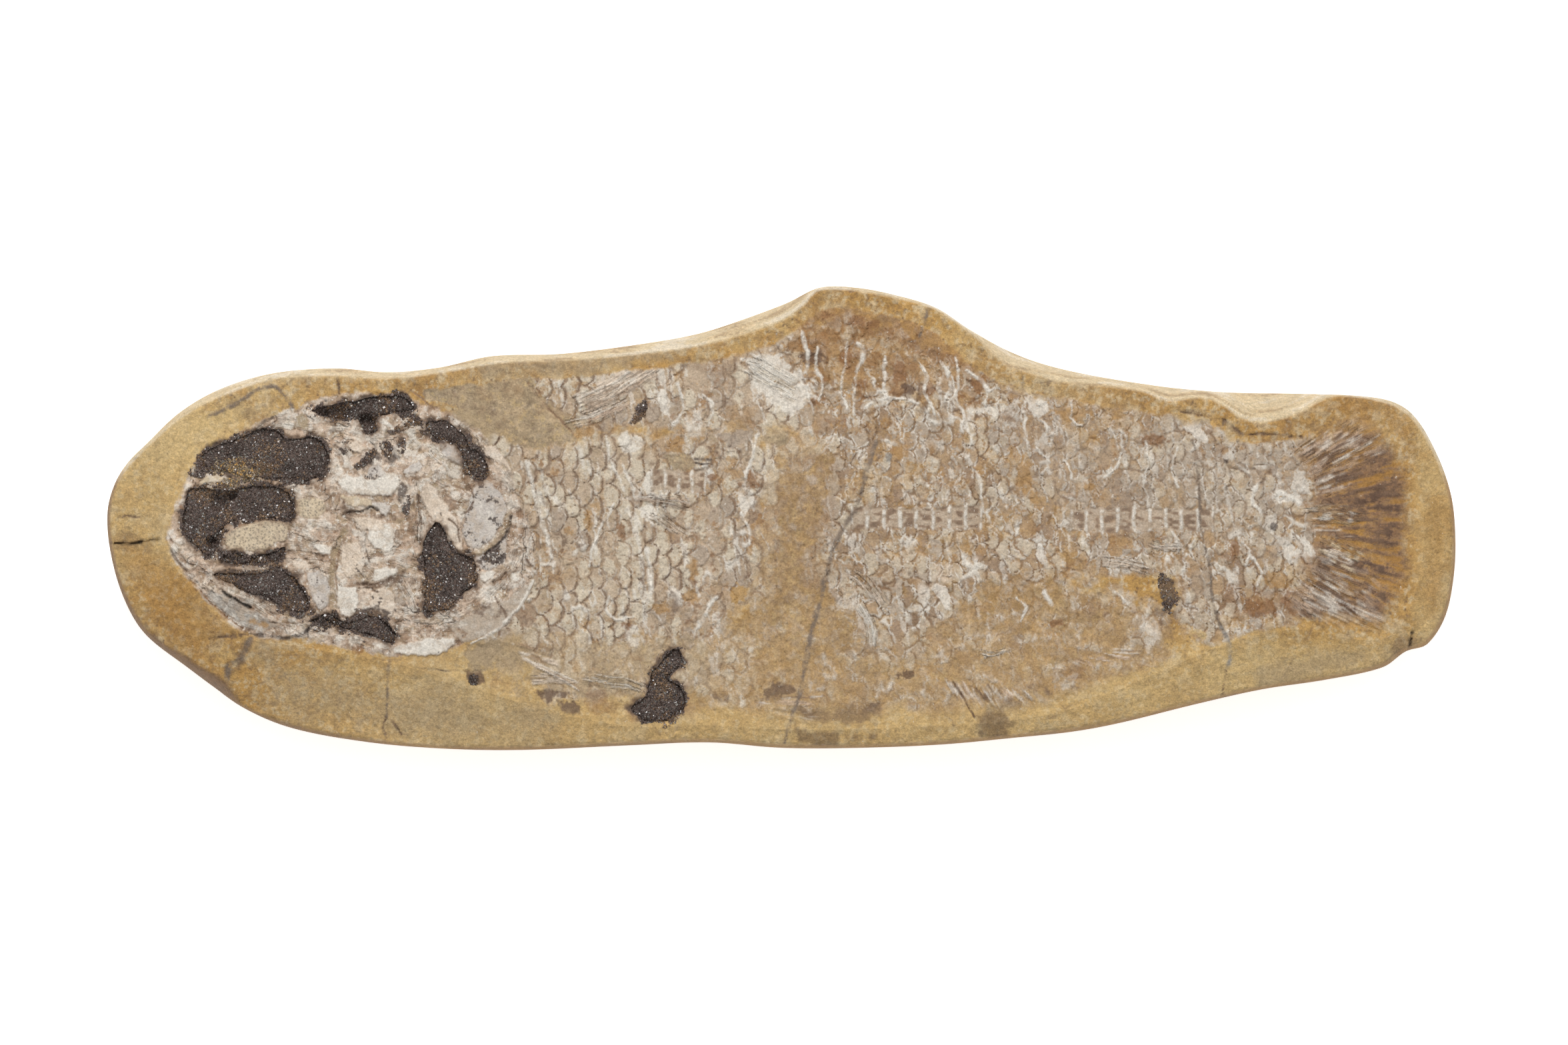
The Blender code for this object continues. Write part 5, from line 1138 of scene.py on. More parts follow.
def body_marks(face):
    """Stains, chips, fibres, fins and cracks of the body."""
    for seed, (colour, soft, ragged, strength, outline) in enumerate(BODY_PATCHES):
        spots, share = face.blotch(outline, soft * 0.7, ragged, strength, 600 + 3 * seed)
        x, y, paint = face.brush(spots)
        if colour in ("ochre", "earth", "tan", "tan_grey"):
            mottle = clouds(x, y, 6, 602 + 3 * seed, 5, 0.7)
            flat = (share * np.clip(0.92 - 0.25 * mottle, 0, 1))[:, None]
            light = (face.stone[spots, :3].mean(axis=1) / np.mean(COLOURS["ochre"]))[:, None]
            bare = np.array(COLOURS[colour]) * (0.3 + 0.7 * light)
            face.tint[spots, :3] += (bare - face.tint[spots, :3]) * flat
            face.tint[spots, 3] *= 1 - flat[:, 0]
            face.z[spots] += (face.bare[spots] - 0.2 + 0.3 * mottle - face.z[spots]) * flat[:, 0] * 0.8
            face.marks[spots, 0] *= 1 - 0.6 * flat[:, 0]
            small = clouds(x, y, 2.4, 603 + 3 * seed, 4, 0.8)
            paint("brown", flat[:, 0] * ease((mottle + 0.5 * small - 0.2) * 3) * 0.35)
            paint("ochre_pale", flat[:, 0] * ease((small - 0.3) * 4) * 0.35)
            paint("umber", flat[:, 0] * ease((-small - 0.45) * 5) * 0.40)
            paint("scale", flat[:, 0] * ease((-mottle - 0.45) * 3) * 0.30)
        else:
            thin = 0.42 if colour in ("lilac", "orange", "rust", "brown") else 0.85
            paint(colour, share * thin)
    for seed, (colour, middle, level, long, tall) in enumerate(SPOTS):
        spots = face.around(np.array(((middle, level),)), long + tall + 3)
        x, y, paint = face.brush(spots)
        out = np.hypot((x - middle) / long, (y - level) / tall)
        out += 0.7 * clouds(x, y, 2.6, 540 + 3 * seed, 4, 0.7)
        paint(colour, ease((1.15 - out) * 3) * 0.75)
    for seed, (half_width, line) in enumerate(EDGES):
        face.ridge(line, half_width, 0.6, "white", 0.95, 1700 + 11 * seed, 0.7)
    tail(face)
    for seed, bundle in enumerate(BODY_FIBRES):
        face.strands(*bundle, 800 + 7 * seed)
    backbone(face)
    fins(face)


def fossil_face(x, y):
    """The whole face, stone and fish together, at the given points."""
    face = Surface(x, y, face_height(x, y))
    face.level = face.z.copy()
    stone_colours(face)
    face.stone, face.bare = face.tint.copy(), face.z.copy()
    stone = face.stone, face.bare, face.marks.copy()
    body_relief(face)
    body_marks(face)
    head_relief(face)
    hollow_rims_and_shade(face)
    depth = gap_to(x, y, FISH_LOOP, True) * np.where(within(x, y, FISH_LOOP), 1, -1)
    wide = 1 + 4 * ease((x - 196) / 16) + 4 * ease((-y - 50) / 14) * ease((x + 60) / 40)
    fish = ease((depth + (1 + 0.5 * wide) * clouds(x, y, 4 + wide, 90) - 0.4 * wide) / (1.6 * wide))
    fish *= ease(depth / 1.2)
    face.tint = stone[0] + (face.tint - stone[0]) * fish[:, None]
    face.marks = stone[2] + (face.marks - stone[2]) * fish[:, None]
    face.fibres[:, 2] *= fish
    face.z = stone[1] + (face.z - stone[1]) * ease(depth / 2.2)
    for seed, (colour, half_width, rise, line) in enumerate(CRACKS):
        face.ridge(line, half_width, rise, colour, 0.9, 900 + 9 * seed)
    face.z = np.minimum(face.z, CAD_TOP - 0.1)
    return face


# ---------------------------------------------------------------- meshes

def scatter(loop, holes, spacing, clear, seed):
    """Points in staggered rows, a little uneven, that fill a loop and keep clear of its edges."""
    low, high = loop.min(axis=0), loop.max(axis=0)
    rows = []
    for number, y in enumerate(np.arange(low[1], high[1], spacing * math.sqrt(0.75))):
        x = np.arange(low[0] + (number % 2) * spacing / 2, high[0], spacing)
        rows.append(np.column_stack((x, np.full(len(x), y))))
    points = np.vstack(rows)
    points += np.random.default_rng(seed).uniform(-0.12, 0.12, points.shape) * spacing
    points = points[within(*points.T, loop)]
    points = points[gap_to(*points.T, loop, True) > clear]
    for hole in holes:
        points = points[~within(*points.T, hole) & (gap_to(*points.T, hole, True) > clear)]
    return points


def triangulate(loops, points):
    """Triangles over points, held to loops: the first is the edge, the others are holes. Gives
    the places, the triangles, and the numbers of each loop's points."""
    corners, edges, spans = [], [], []
    for loop in loops:
        first = len(corners)
        corners += list(loop)
        edges += [(first + step, first + (step + 1) % len(loop)) for step in range(len(loop))]
        spans.append(range(first, len(corners)))
    corners += list(points)
    found = delaunay_2d_cdt([Vector(corner) for corner in corners], edges, [], 0, 1e-6)
    plan = np.array([tuple(corner) for corner in found[0]])
    faces = np.array(found[2])
    middle = plan[faces].mean(axis=1)
    keep = within(*middle.T, loops[0])
    for hole in loops[1:]:
        keep &= ~within(*middle.T, hole)
    faces = faces[keep]
    one, two, three = (plan[faces[:, corner]] for corner in range(3))
    area = (two[:, 0] - one[:, 0]) * (three[:, 1] - one[:, 1])
    area -= (two[:, 1] - one[:, 1]) * (three[:, 0] - one[:, 0])
    faces[area < 0] = faces[area < 0][:, ::-1]
    place = {old: new for new, olds in enumerate(found[3]) for old in olds}
    return plan, faces, [np.array([place[old] for old in span]) for span in spans]


SMOOTH_BELOW = math.radians(62)     # sharper turns between faces stay as edges


class Shell:
    """Gathers sheets and walls into one closed mesh with colours at its points."""

    def __init__(self):
        self.places, self.paints, self.faces, self.count = [], [], [], 0

    def points(self, places, tints, marks=0.0, fibres=0.0):
        """Adds points in millimetres and gives their numbers."""
        paint = np.zeros((len(places), 10))
        paint[:, :4], paint[:, 4:7], paint[:, 7:] = tints, marks, fibres
        self.places.append(places)
        self.paints.append(paint)
        self.count += len(places)
        return np.arange(self.count - len(places), self.count)

    def ring(self, plan, height, like):
        """Adds a ring of points with the colours of the points it goes under."""
        paint = np.vstack(self.paints)[like]
        heights = np.broadcast_to(height, len(plan))
        return self.points(np.column_stack((plan, heights)), paint[:, :4], paint[:, 4:7], paint[:, 7:])

    def wall(self, upper, lower, outward=True):
        """Quads between two rings that run counterclockwise."""
        for one, two in zip(range(len(upper)), list(range(1, len(upper))) + [0]):
            quad = [lower[one], lower[two], upper[two], upper[one]]
            self.faces.append(quad if outward else quad[::-1])

    def build(self, name, material):
        """Makes the object, with everything in metres and at the origin."""
        mesh = bpy.data.meshes.new(name)
        mesh.from_pydata((np.vstack(self.places) * MM).tolist(), [], [list(map(int, f)) for f in self.faces])
        paint = np.vstack(self.paints)
        tint = mesh.attributes.new("tint", "FLOAT_COLOR", "POINT")
        tint.data.foreach_set("color", paint[:, :4].ravel())
        for label, columns in (("marks", np.clip(paint[:, 4:7], 0, 1)), ("fibres", paint[:, 7:])):
            mark = mesh.attributes.new(label, "FLOAT_VECTOR", "POINT")
            mark.data.foreach_set("vector", columns.ravel())
        mesh.materials.append(material)
        mesh.validate()
        piece = bpy.data.objects.new(name, mesh)
        bpy.context.collection.objects.link(piece)
        bpy.ops.object.select_all(action="DESELECT")
        piece.select_set(True)
        bpy.context.view_layer.objects.active = piece
        bpy.ops.object.shade_smooth_by_angle(angle=SMOOTH_BELOW)
        return piece


FISH_EDGE = closed_curve(FISH, FINE)
GILL_CUT = (
    -97, 50, -92, 42, -93, 33, -98, 20, -94, 4, -92.6, -10, -94, -22, -100, -36, -102, -47, -99, -58,
    -95, -66)
CRACK_CUT = (
    55, 73, 53, 70, 49, 62, 45, 55, 41, 48, 38, 40, 35, 30, 34, 22, 31, 12, 28, 3, 24, -3, 20, -12, 17, -22,
    15, -32, 12, -42, 10, -52, 8.5, -60, 7, -67, 4, -76)


def cut_outline(edge, cuts):
    """Parts the fish's outline along lines that run from its back to its belly."""
    ends, lines = [], []
    for cut in cuts:
        cut = np.reshape(cut, (-1, 2))
        top = int(np.argmin(np.hypot(*(edge - cut[0]).T)))
        foot = int(np.argmin(np.hypot(*(edge - cut[-1]).T)))
        lines.append(along((edge[top], *cut[1:-1], edge[foot]), FINE))
        ends.append((top, foot))

    def arc(first, last):
        steps = (last - first) % len(edge)
        return edge[(first + np.arange(steps + 1)) % len(edge)]

    parts = [np.vstack((arc(ends[0][0], ends[0][1]), lines[0][::-1][1:-1]))]
    for (top, foot), line, (next_top, next_foot), after in zip(ends, lines, ends[1:], lines[1:]):
        parts.append(np.vstack((line, arc(foot, next_foot)[1:], after[::-1][1:], arc(next_top, top)[1:-1])))
    last_top, last_foot = ends[-1]
    parts.append(np.vstack((lines[-1], arc(last_foot, last_top)[1:-1])))
    return parts


# ---------------------------------------------------------------- pieces

INSETS = (0.25, 0.7, 1.4, 2.5, 4.0, 6.0, 8.4, 11.2, 14.4, 18.0, 22.4, 27.4, 32.0, BASE_INSET)
SHOULDER = (0.12, 0.40, 0.90)

# Deep places in the hollows: x, y, radius and depth
PITS = (
    (-215.5, 6.6, 4.4, 4.2), (-211, 9.4, 2.6, 3.4), (-219, -9, 2.6, 3.6), (-170.6, 40.4, 5, 3.4),
    (-176, 40.6, 3, 2.4), (-159.6, 37.6, 3.4, 4), (-207, 4.4, 6, 1.6),
)

# Crystals that grow outside the hollows: the crust they belong to, and where they grow
SPRINKLES = (
    ("orbit", (-228, 17.6, -222, 25, -214, 29, -208, 27, -215, 16.6, -222, 15.6)),
    ("snout", (-231, 3, -226, 12, -216, 15.4, -200, 15, -194, 12, -204, 11.4, -214, 10.6)),
    ("snout", (-216, -11, -213, -14, -203, -17, -196, -16.4, -206, -12.8, -214, -12)),
    ("orbit", (-170, 29, -166, 30, -164.6, 26, -168.6, 25)),
    ("orbit", (-163, 18.6, -158, 22, -155.4, 26.4, -157, 27, -161, 23, -164.4, 20)),
    ("orbit", (-154, 29.6, -149.6, 29, -150, 24, -153.4, 25)),
    ("skull_roof", (-147, 31, -144.6, 30.6, -145, 25, -147, 25.4)),
    ("skull_roof", (-152, 33, -146, 36.6, -140, 39.6, -138, 37, -146, 33.6)),
    ("skull_roof", (-166, 11.4, -162, 13.6, -156, 16, -158, 17.6, -164, 15)),
    ("nape", (-111.4, 7.6, -108, 8, -107.6, 4.4, -110.6, 3.6)),
    ("nape", (-120, -1.6, -116, -0.6, -110, -1.6, -109, -4.4, -114, -3.4, -119, -4)),
    ("gill_cover", (-115, -13, -108, -11, -106, -15, -111, -18, -115, -16)),
    ("gill_cover", (-144.4, 8.6, -142.6, 9, -143.4, 1.4, -145.4, 2)),
    ("lower_jaw", (-181, -38, -176, -36.6, -172, -38, -175, -43, -180, -43)),
    ("belly", (-57.6, 36.6, -55.4, 43.4, -52.4, 45.6, -51.4, 42, -54, 38)),
    ("belly", (145, -21, 149, -22, 152.6, -30, 152, -35, 148, -36.6, 145.4, -31)),
    ("belly", (-119.6, -60, -116.6, -60.4, -117, -64, -119.6, -63.6)),
)


def add_stone(grain, finish):
    """The nodule: the bare face around the fish, its broken side and its rounded back, with the
    bed that the fish lies in."""
    girth = closed_curve(GIRTH, 1.6 * ROUGH)
    edge = closed_curve(FACE_EDGE, 1.2 * ROUGH)
    girth = girth + inward(girth) * BOX_CLEAR
    into = inward(girth)
    extra = np.vstack([girth + into * step for step in SHOULDER] + [edge])
    points = scatter(girth, [FISH_EDGE], grain * ROUGH, 1.3, 2)
    points = points[gap_to(*points.T, edge, True) > 0.55 * grain * ROUGH]
    plan, faces, (rim, bed_rim) = triangulate([girth, FISH_EDGE], np.vstack((extra, points)))
    face = fossil_face(*plan.T)
    bare = side_colours_and_shade(face)
    to_rim, to_face = gap_to(*plan.T, girth, True), gap_to(*plan.T, FACE_LOOP, True)
    share = np.where(bare, to_rim / (to_rim + to_face + 1e-9), 1)
    rounded = 0.45 * np.sqrt(1 - (1 - share) ** 2) + 0.55 * share
    low = rim_height(*plan.T)
    stepped = low + (face.z - low) * rounded
    face.z = np.where(bare, stepped, face.z)
    face.z += bare * ease(share * 3) * ease((1 - share) * 4) * 0.7 * clouds(*plan.T, 6, 30)
    shell = Shell()
    shell.points(np.column_stack((plan, face.z)), face.tint, face.marks)
    shell.faces += faces.tolist()
    spine = np.column_stack((np.clip(girth[:, 0] * 0.8, -190, 190), np.zeros(len(girth))))
    toward = (spine - girth) / np.linalg.norm(spine - girth, axis=1)[:, None]
    upper, start = rim, face.z[rim]
    order = plan[rim]
    for inset in INSETS:
        fall = (1 - inset / BASE_INSET) ** UNDERSIDE_CURVE * (1 - 0.08 * min(inset / 2.5, 1))
        height = start * fall
        rough = 0.5 + 0.5 * clouds(order[:, 0] + height, order[:, 1] - height, 9, 33)
        step = inset + STONE_LUMP * rough * min(1, inset / 1.4) * (inset < BASE_INSET)
        ring_plan = order + toward * step[:, None] if np.ndim(step) else order + toward * step
        streak = clouds(order[:, 0] / 3, order[:, 1] / 3 + height * 1.3, 4, 34)
        flank = Surface(*ring_plan.T, height)
        paint = flank.brush()[2]
        paint("tan", ease(streak * 2) * 0.6)
        paint("sand", ease(-streak * 2 - 0.2) * 0.5 * ease((order[:, 1] + 10) / 60))
        paint("ochre_deep", np.full(len(order), min(0.35, inset / 60)))
        lower = shell.points(np.column_stack((ring_plan, height)), flank.tint, (0, 0, 0.2))
        shell.wall(upper, lower)
        upper = lower
    foot = np.column_stack((ring_plan + toward * 0.5, height))
    foot = shell.points(foot, (*COLOURS["ochre"], 0), (0.1, 0, 0.3))
    shell.wall(upper, foot)
    shell.faces.append(foot[::-1])
    bed = shell.ring(plan[bed_rim], BED_LEVEL, bed_rim)
    shell.wall(bed_rim, bed, outward=False)
    shell.faces.append(bed)
    return shell.build("stone", finish)


def hollow_floor(loop):
    """Height of the floor of a hollow, below the lowest point of its rim."""
    return float(face_height(*loop.T).min()) - HOLLOW_DEPTH


def add_fossil_part(name, outline, hollows, grain, finish, seed):
    """A part of the fish with its relief, closed down to the bed, with its hollows left open."""
    loops = [HOLLOW_LOOPS[hollow] for hollow in hollows]
    points = scatter(outline, loops, grain * ROUGH, 0.45 * grain * ROUGH, seed)
    plan, faces, rings = triangulate([outline, *loops], points)
    face = fossil_face(*plan.T)
    shell = Shell()
    shell.points(np.column_stack((plan, face.z)), face.tint, face.marks, face.fibres)
    shell.faces += faces.tolist()
    under = shell.ring(plan[rings[0]], FISH_FOOT, rings[0])
    shell.wall(rings[0], under)
    shell.faces.append(under[::-1])
    for loop, ring in zip(loops, rings[1:]):
        foot = shell.ring(plan[ring], hollow_floor(loop), ring)
        shell.wall(ring, foot, outward=False)
        shell.faces.append(foot)
    return shell.build(name, finish)


def rhomb():
    """One calcite crystal, modelled once: a cube stood on its corner and pressed along that line."""
    bpy.ops.object.select_all(action="DESELECT")
    bpy.ops.mesh.primitive_cube_add(size=1)
    crystal = bpy.context.object
    bpy.ops.object.mode_set(mode="EDIT")
    bpy.ops.mesh.select_all(action="SELECT")
    bpy.ops.transform.rotate(value=math.radians(45), orient_axis="Z", center_override=(0, 0, 0))
    bpy.ops.transform.rotate(value=math.atan(math.sqrt(2)), orient_axis="X", center_override=(0, 0, 0))
    bpy.ops.transform.resize(value=(1, 1, 0.8), center_override=(0, 0, 0))
    bpy.ops.object.mode_set(mode="OBJECT")
    corners = np.array([corner.co for corner in crystal.data.vertices])
    faces = np.array([face.vertices[:] for face in crystal.data.polygons])
    bpy.data.objects.remove(crystal)
    return corners, faces


def turned(chance, count):
    """Random turns, as rotation matrices."""
    q = chance.normal(size=(count, 4))
    w, x, y, z = (q / np.linalg.norm(q, axis=1)[:, None]).T
    rows = ((1 - 2 * (y * y + z * z), 2 * (x * y - w * z), 2 * (x * z + w * y)),
            (2 * (x * y + w * z), 1 - 2 * (x * x + z * z), 2 * (y * z - w * x)),
            (2 * (x * z - w * y), 2 * (y * z + w * x), 1 - 2 * (x * x + y * y)))
    return np.moveaxis(np.array(rows), 2, 0)


def crust_height(x, y, loop, seed):
    """The bed of a crust: uneven, lower in its deep places and at its edge."""
    height = face_height(x, y) - 1.5 + 0.9 * clouds(x, y, 6, seed) + 0.35 * clouds(x, y, 1.6, seed + 1)
    height -= 0.5 * ease(1 - gap_to(x, y, loop, True) / 1.2)
    for pit_x, pit_y, radius, depth in PITS:
        height -= depth * ease(1.25 - np.hypot(x - pit_x, y - pit_y) / radius)
    return height


def add_crust(name, size, spacing, finish, crystal, seed):
    """The dark crust in one hollow: an uneven bed closely set with small crystals."""
    loop = HOLLOW_LOOPS[name]
    points = scatter(loop, [], 0.6 * ROUGH, 0.3, seed)
    plan, faces, (ring,) = triangulate([loop], points)
    low = hollow_floor(loop) + 0.05
    height = np.maximum(crust_height(*plan.T, loop, seed), low + 0.8)
    shell = Shell()
    tint = np.tile((*COLOURS["dark"], 1.0), (len(plan), 1))
    tint[:, :3] *= (0.45 + 0.35 * (clouds(*plan.T, 2, seed + 2) > 0))[:, None]
    shell.points(np.column_stack((plan, height)), tint)
    shell.faces += faces.tolist()
    under = shell.ring(plan[ring], low, ring)
    shell.wall(ring, under)
    shell.faces.append(under[::-1])
    seeds = scatter(loop, [], spacing * ROUGH, 0.0, seed + 3)
    beds = crust_height(*seeds.T, loop, seed)
    for owner, outline in SPRINKLES:
        if owner == name:
            spill = scatter(closed_curve(outline, 2.0), [], spacing * 1.15 * ROUGH, 0.0, seed + 4)
            spill = spill[~within(*spill.T, loop)]
            thin = clouds(*spill.T, 2.6, seed + 5) > -0.35
            seeds, beds = np.vstack((seeds, spill[thin])), np.append(beds, face_height(*spill[thin].T) - 0.1)
    outside = closed_curve(loop[::6] - inward(loop[::6]) * 2.6, 1.6)
    fringe = scatter(outside, [loop], spacing * ROUGH, 0.0, seed + 6)
    fringe = fringe[clouds(*fringe.T, 2.6, seed + 7) - 0.25 * gap_to(*fringe.T, loop, True) > -0.25]
    seeds, beds = np.vstack((seeds, fringe)), np.append(beds, face_height(*fringe.T) - 0.5)
    chance = np.random.default_rng(seed)
    seeds = seeds + chance.uniform(-0.4, 0.4, seeds.shape) * spacing
    corners, quads = crystal
    count = len(seeds)
    scale = size * ROUGH * chance.uniform(0.55, 1.25, count) * np.where(chance.random(count) > 0.94, 1.5, 1)
    shape = np.einsum("nij,kj->nki", turned(chance, count), corners) * scale[:, None, None]
    middle = np.column_stack((seeds, np.minimum(beds + scale * 0.12, CAD_TOP - 1.2)))
    bright = chance.random(count)
    tone = 0.85 + 0.9 * chance.random(count) + 0.45 * clouds(*seeds.T, 5, seed + 8)
    colour = np.array(COLOURS["dark"]) * np.clip(tone, 0.3, 2.4)[:, None]
    earthy = (clouds(*seeds.T, 9, seed + 9, 4, 0.7) + chance.uniform(-0.5, 0.5, count) > 0.38)[:, None]
    colour = np.where(earthy, np.array(COLOURS["brown"]) * chance.uniform(0.35, 0.9, (count, 1)), colour)
    colour[bright > 0.93] = np.array(COLOURS["slate"]) * 0.7
    # The rarest crystals are painted white: painted glints that stand for light on their facets.
    colour[bright > 0.9985] = np.array(COLOURS["white"]) * 0.9
    if name in ("orbit", "snout"):
        gilt = ease(1.2 - np.hypot((seeds[:, 0] + 210) / 12, (seeds[:, 1] - 17.5) / 7)) * 0.8
        rusty = (chance.random(count) < gilt)[:, None]
        colour = np.where(rusty, np.array(COLOURS["tan"]) * chance.uniform(0.3, 1.1, (count, 1)), colour)
        rusty = (chance.random(count) < gilt ** 2 * 0.4)[:, None]
        colour = np.where(rusty, np.array(COLOURS["ochre"]) * chance.uniform(0.7, 1.3, (count, 1)), colour)
    colour = np.column_stack((colour, bright))
    first = shell.points((shape + middle[:, None]).reshape(-1, 3), np.repeat(colour, len(corners), 0))[0]
    steps = (np.arange(count) * len(corners) + first)[:, None, None]
    shell.faces += (quads[None] + steps).reshape(-1, 4).tolist()
    return shell.build("crystals_in_" + name, finish)


# ---------------------------------------------------------------- finishes

class Finish:
    """Puts a material together from shader nodes."""

    def __init__(self, name):
        self.material = bpy.data.materials.new(name)
        self.material.use_nodes = True
        self.nodes, self.links = self.material.node_tree.nodes, self.material.node_tree.links
        self.shader = self.nodes["Principled BSDF"]
        self.place = self.nodes.new("ShaderNodeTexCoord").outputs["Object"]

    def put(self, socket, value):
        """Links another node's output to a socket, or sets a plain value or colour on it."""
        if isinstance(value, bpy.types.NodeSocket):
            self.links.new(value, socket)
        elif hasattr(value, "__len__") and len(value) == 3 and socket.type == "RGBA":
            socket.default_value = (*value, 1)
        else:
            socket.default_value = value

    def painted(self, name):
        node = self.nodes.new("ShaderNodeAttribute")
        node.attribute_name = name
        return node

    def axes(self, name):
        """The x, y and z of something that is painted on the points."""
        split = self.nodes.new("ShaderNodeSeparateXYZ")
        self.links.new(self.painted(name).outputs["Vector"], split.inputs["Vector"])
        return split.outputs

    def noise(self, size, detail=3.0, roughness=0.55):
        """Noise from 0 to 1 with lumps of the given size in millimetres."""
        place = self.nodes.new("ShaderNodeMapping")
        place.inputs["Scale"].default_value = [1 / (size * MM)] * 3
        self.links.new(self.place, place.inputs["Vector"])
        node = self.nodes.new("ShaderNodeTexNoise")
        self.links.new(place.outputs["Vector"], node.inputs["Vector"])
        node.inputs["Scale"].default_value = 1.0
        node.inputs["Detail"].default_value = detail
        node.inputs["Roughness"].default_value = roughness
        return node.outputs["Fac"]

    def between(self, value, low, high, least=0.0, most=1.0):
        """The value's way from low to high, as a number from least to most."""
        node = self.nodes.new("ShaderNodeMapRange")
        self.put(node.inputs["Value"], value)
        node.inputs["From Min"].default_value, node.inputs["From Max"].default_value = low, high
        node.inputs["To Min"].default_value, node.inputs["To Max"].default_value = least, most
        return node.outputs["Result"]

    def combine(self, one, two, operation="MULTIPLY"):
        node = self.nodes.new("ShaderNodeMath")
        node.operation = operation
        self.put(node.inputs[0], one)
        self.put(node.inputs[1], two)
        return node.outputs["Value"]

    def mix(self, under, over, share):
        node = self.nodes.new("ShaderNodeMix")
        node.data_type = "RGBA"
        self.put(node.inputs["Factor"], share)
        self.put(node.inputs["A"], under)
        self.put(node.inputs["B"], over)
        return [out for out in node.outputs if out.type == "RGBA"][0]

    def shade(self, colour, value):
        """A colour made lighter or darker by a value around 1."""
        node = self.nodes.new("ShaderNodeVectorMath")
        node.operation = "SCALE"
        self.put(node.inputs[0], colour)
        self.put(node.inputs["Scale"], value)
        return node.outputs["Vector"]

    def bump(self, height, distance, under=None):
        node = self.nodes.new("ShaderNodeBump")
        node.inputs["Distance"].default_value = distance * MM
        node.inputs["Strength"].default_value = 1.0
        self.put(node.inputs["Height"], height)
        if under is not None:
            self.links.new(under, node.inputs["Normal"])
        return node.outputs["Normal"]

    def done(self, colour, roughness, normal=None, **inputs):
        self.put(self.shader.inputs["Base Color"], colour)
        self.put(self.shader.inputs["Roughness"], roughness)
        if normal is not None:
            self.links.new(normal, self.shader.inputs["Normal"])
        for name, value in inputs.items():
            self.shader.inputs[name.replace("_", " ")].default_value = value
        return self.material


def face_finish(name, stone_roughness, bone_roughness, grain, mottle):
    """Stone and bone alike: the painted tint, mottled and grainy, with white, rusty and dark
    flecks where the marks ask for them, and a faint sheen where the tint is bone."""
    made = Finish(name)
    painted = made.painted("tint")
    marks, fibres = made.axes("marks"), made.axes("fibres")
    colour = made.shade(painted.outputs["Color"], made.between(made.noise(7.0, 5), 0.36, 0.64, 0.94, 1.06))
    colour = made.shade(colour, made.between(made.noise(1.7, 5, 0.7), 0.36, 0.64, 1 - mottle, 1 + mottle))
    colour = made.shade(colour, made.between(made.noise(0.7, 4, 0.7), 0.36, 0.64, 0.84, 1.16))
    lines = made.nodes.new("ShaderNodeTexNoise")
    flat = made.nodes.new("ShaderNodeCombineXYZ")
    made.links.new(fibres["X"], flat.inputs["X"])
    made.links.new(fibres["Y"], flat.inputs["Y"])
    made.links.new(flat.outputs["Vector"], lines.inputs["Vector"])
    lines.inputs["Scale"].default_value = 1.0
    line = made.combine(made.between(lines.outputs["Fac"], 0.35, 0.65, -1, 1), fibres["Z"])
    colour = made.shade(colour, made.between(line, -1, 1, 0.78, 1.18))
    for axis, fleck, size, high, weight in (("Y", "orange", 3.2, 0.68, 0.22), ("X", "white", 1.6, 0.72, 0.24),
                                            ("Z", "umber", 1.2, 0.76, 0.22)):
        reach = made.combine(made.combine(marks[axis], weight), made.noise(size, 5, 0.7), "ADD")
        colour = made.mix(colour, COLOURS[fleck], made.between(reach, high, high + 0.06, 0, 0.8))
    coarse = made.bump(made.noise(2.2, 6, 0.66), grain * 2.8)
    combed = made.bump(line, grain * 0.8, coarse)
    fine = made.bump(made.noise(0.7, 4, 0.7), grain * 0.8, combed)
    dull = made.between(painted.outputs["Alpha"], 0, 1, stone_roughness, bone_roughness)
    return made.done(colour, dull, fine, Specular_IOR_Level=0.4)


def crystal_finish(name, roughness):
    """Dark calcite: glossy facets, each crystal with its own tone."""
    made = Finish(name)
    tone = made.between(made.noise(0.5, 3), 0.3, 0.7, 0.7, 1.3)
    colour = made.shade(made.painted("tint").outputs["Color"], tone)
    return made.done(colour, roughness, Specular_IOR_Level=0.6)


def finish_once(name, build, *values):
    """The material of that name, made the first time it is asked for."""
    return bpy.data.materials.get(name) or build(name, *values)


# ---------------------------------------------------------------- settings

STONE_MOTTLE, BONE_MOTTLE = 0.17, 0.09      # how far the fine mottling goes to either side
BONE_IN_STONE = 0.6     # roughness of the traces of bone in the stone


def metres(name, description, default, least, most):
    """A setting in metres."""
    return FloatProperty(name=name, description=description, default=default, min=least, max=most,
                         unit="LENGTH")


def dullness(what, default):
    """A setting for the roughness of something."""
    return FloatProperty(name="Roughness", description="How dull " + what, default=default, min=0, max=1,
                         subtype="FACTOR")


class StoneSettings(bpy.types.PropertyGroup):
    """Sizes and finish of the bare stone."""
    grain: metres("Point spacing", "Distance between the points of the bare face", 0.00072, 0.0004, 0.01)
    roughness: dullness("the stone is", 0.88)
    bump: metres("Grain height", "Height of the stone's grains", 0.00042, 0, 0.002)


class FossilSettings(bpy.types.PropertyGroup):
    """Sizes and finish of the fossil."""
    skull_grain: metres("Skull point spacing", "Distance between the skull's points", 0.00043, 0.0002, 0.01)
    body_grain: metres("Body point spacing", "Distance between the body's points", 0.00053, 0.0002, 0.01)
    roughness: dullness("bone and scales are", 0.58)
    bump: metres("Grain height", "Height of the finest texture of bone and scales", 0.00028, 0, 0.002)


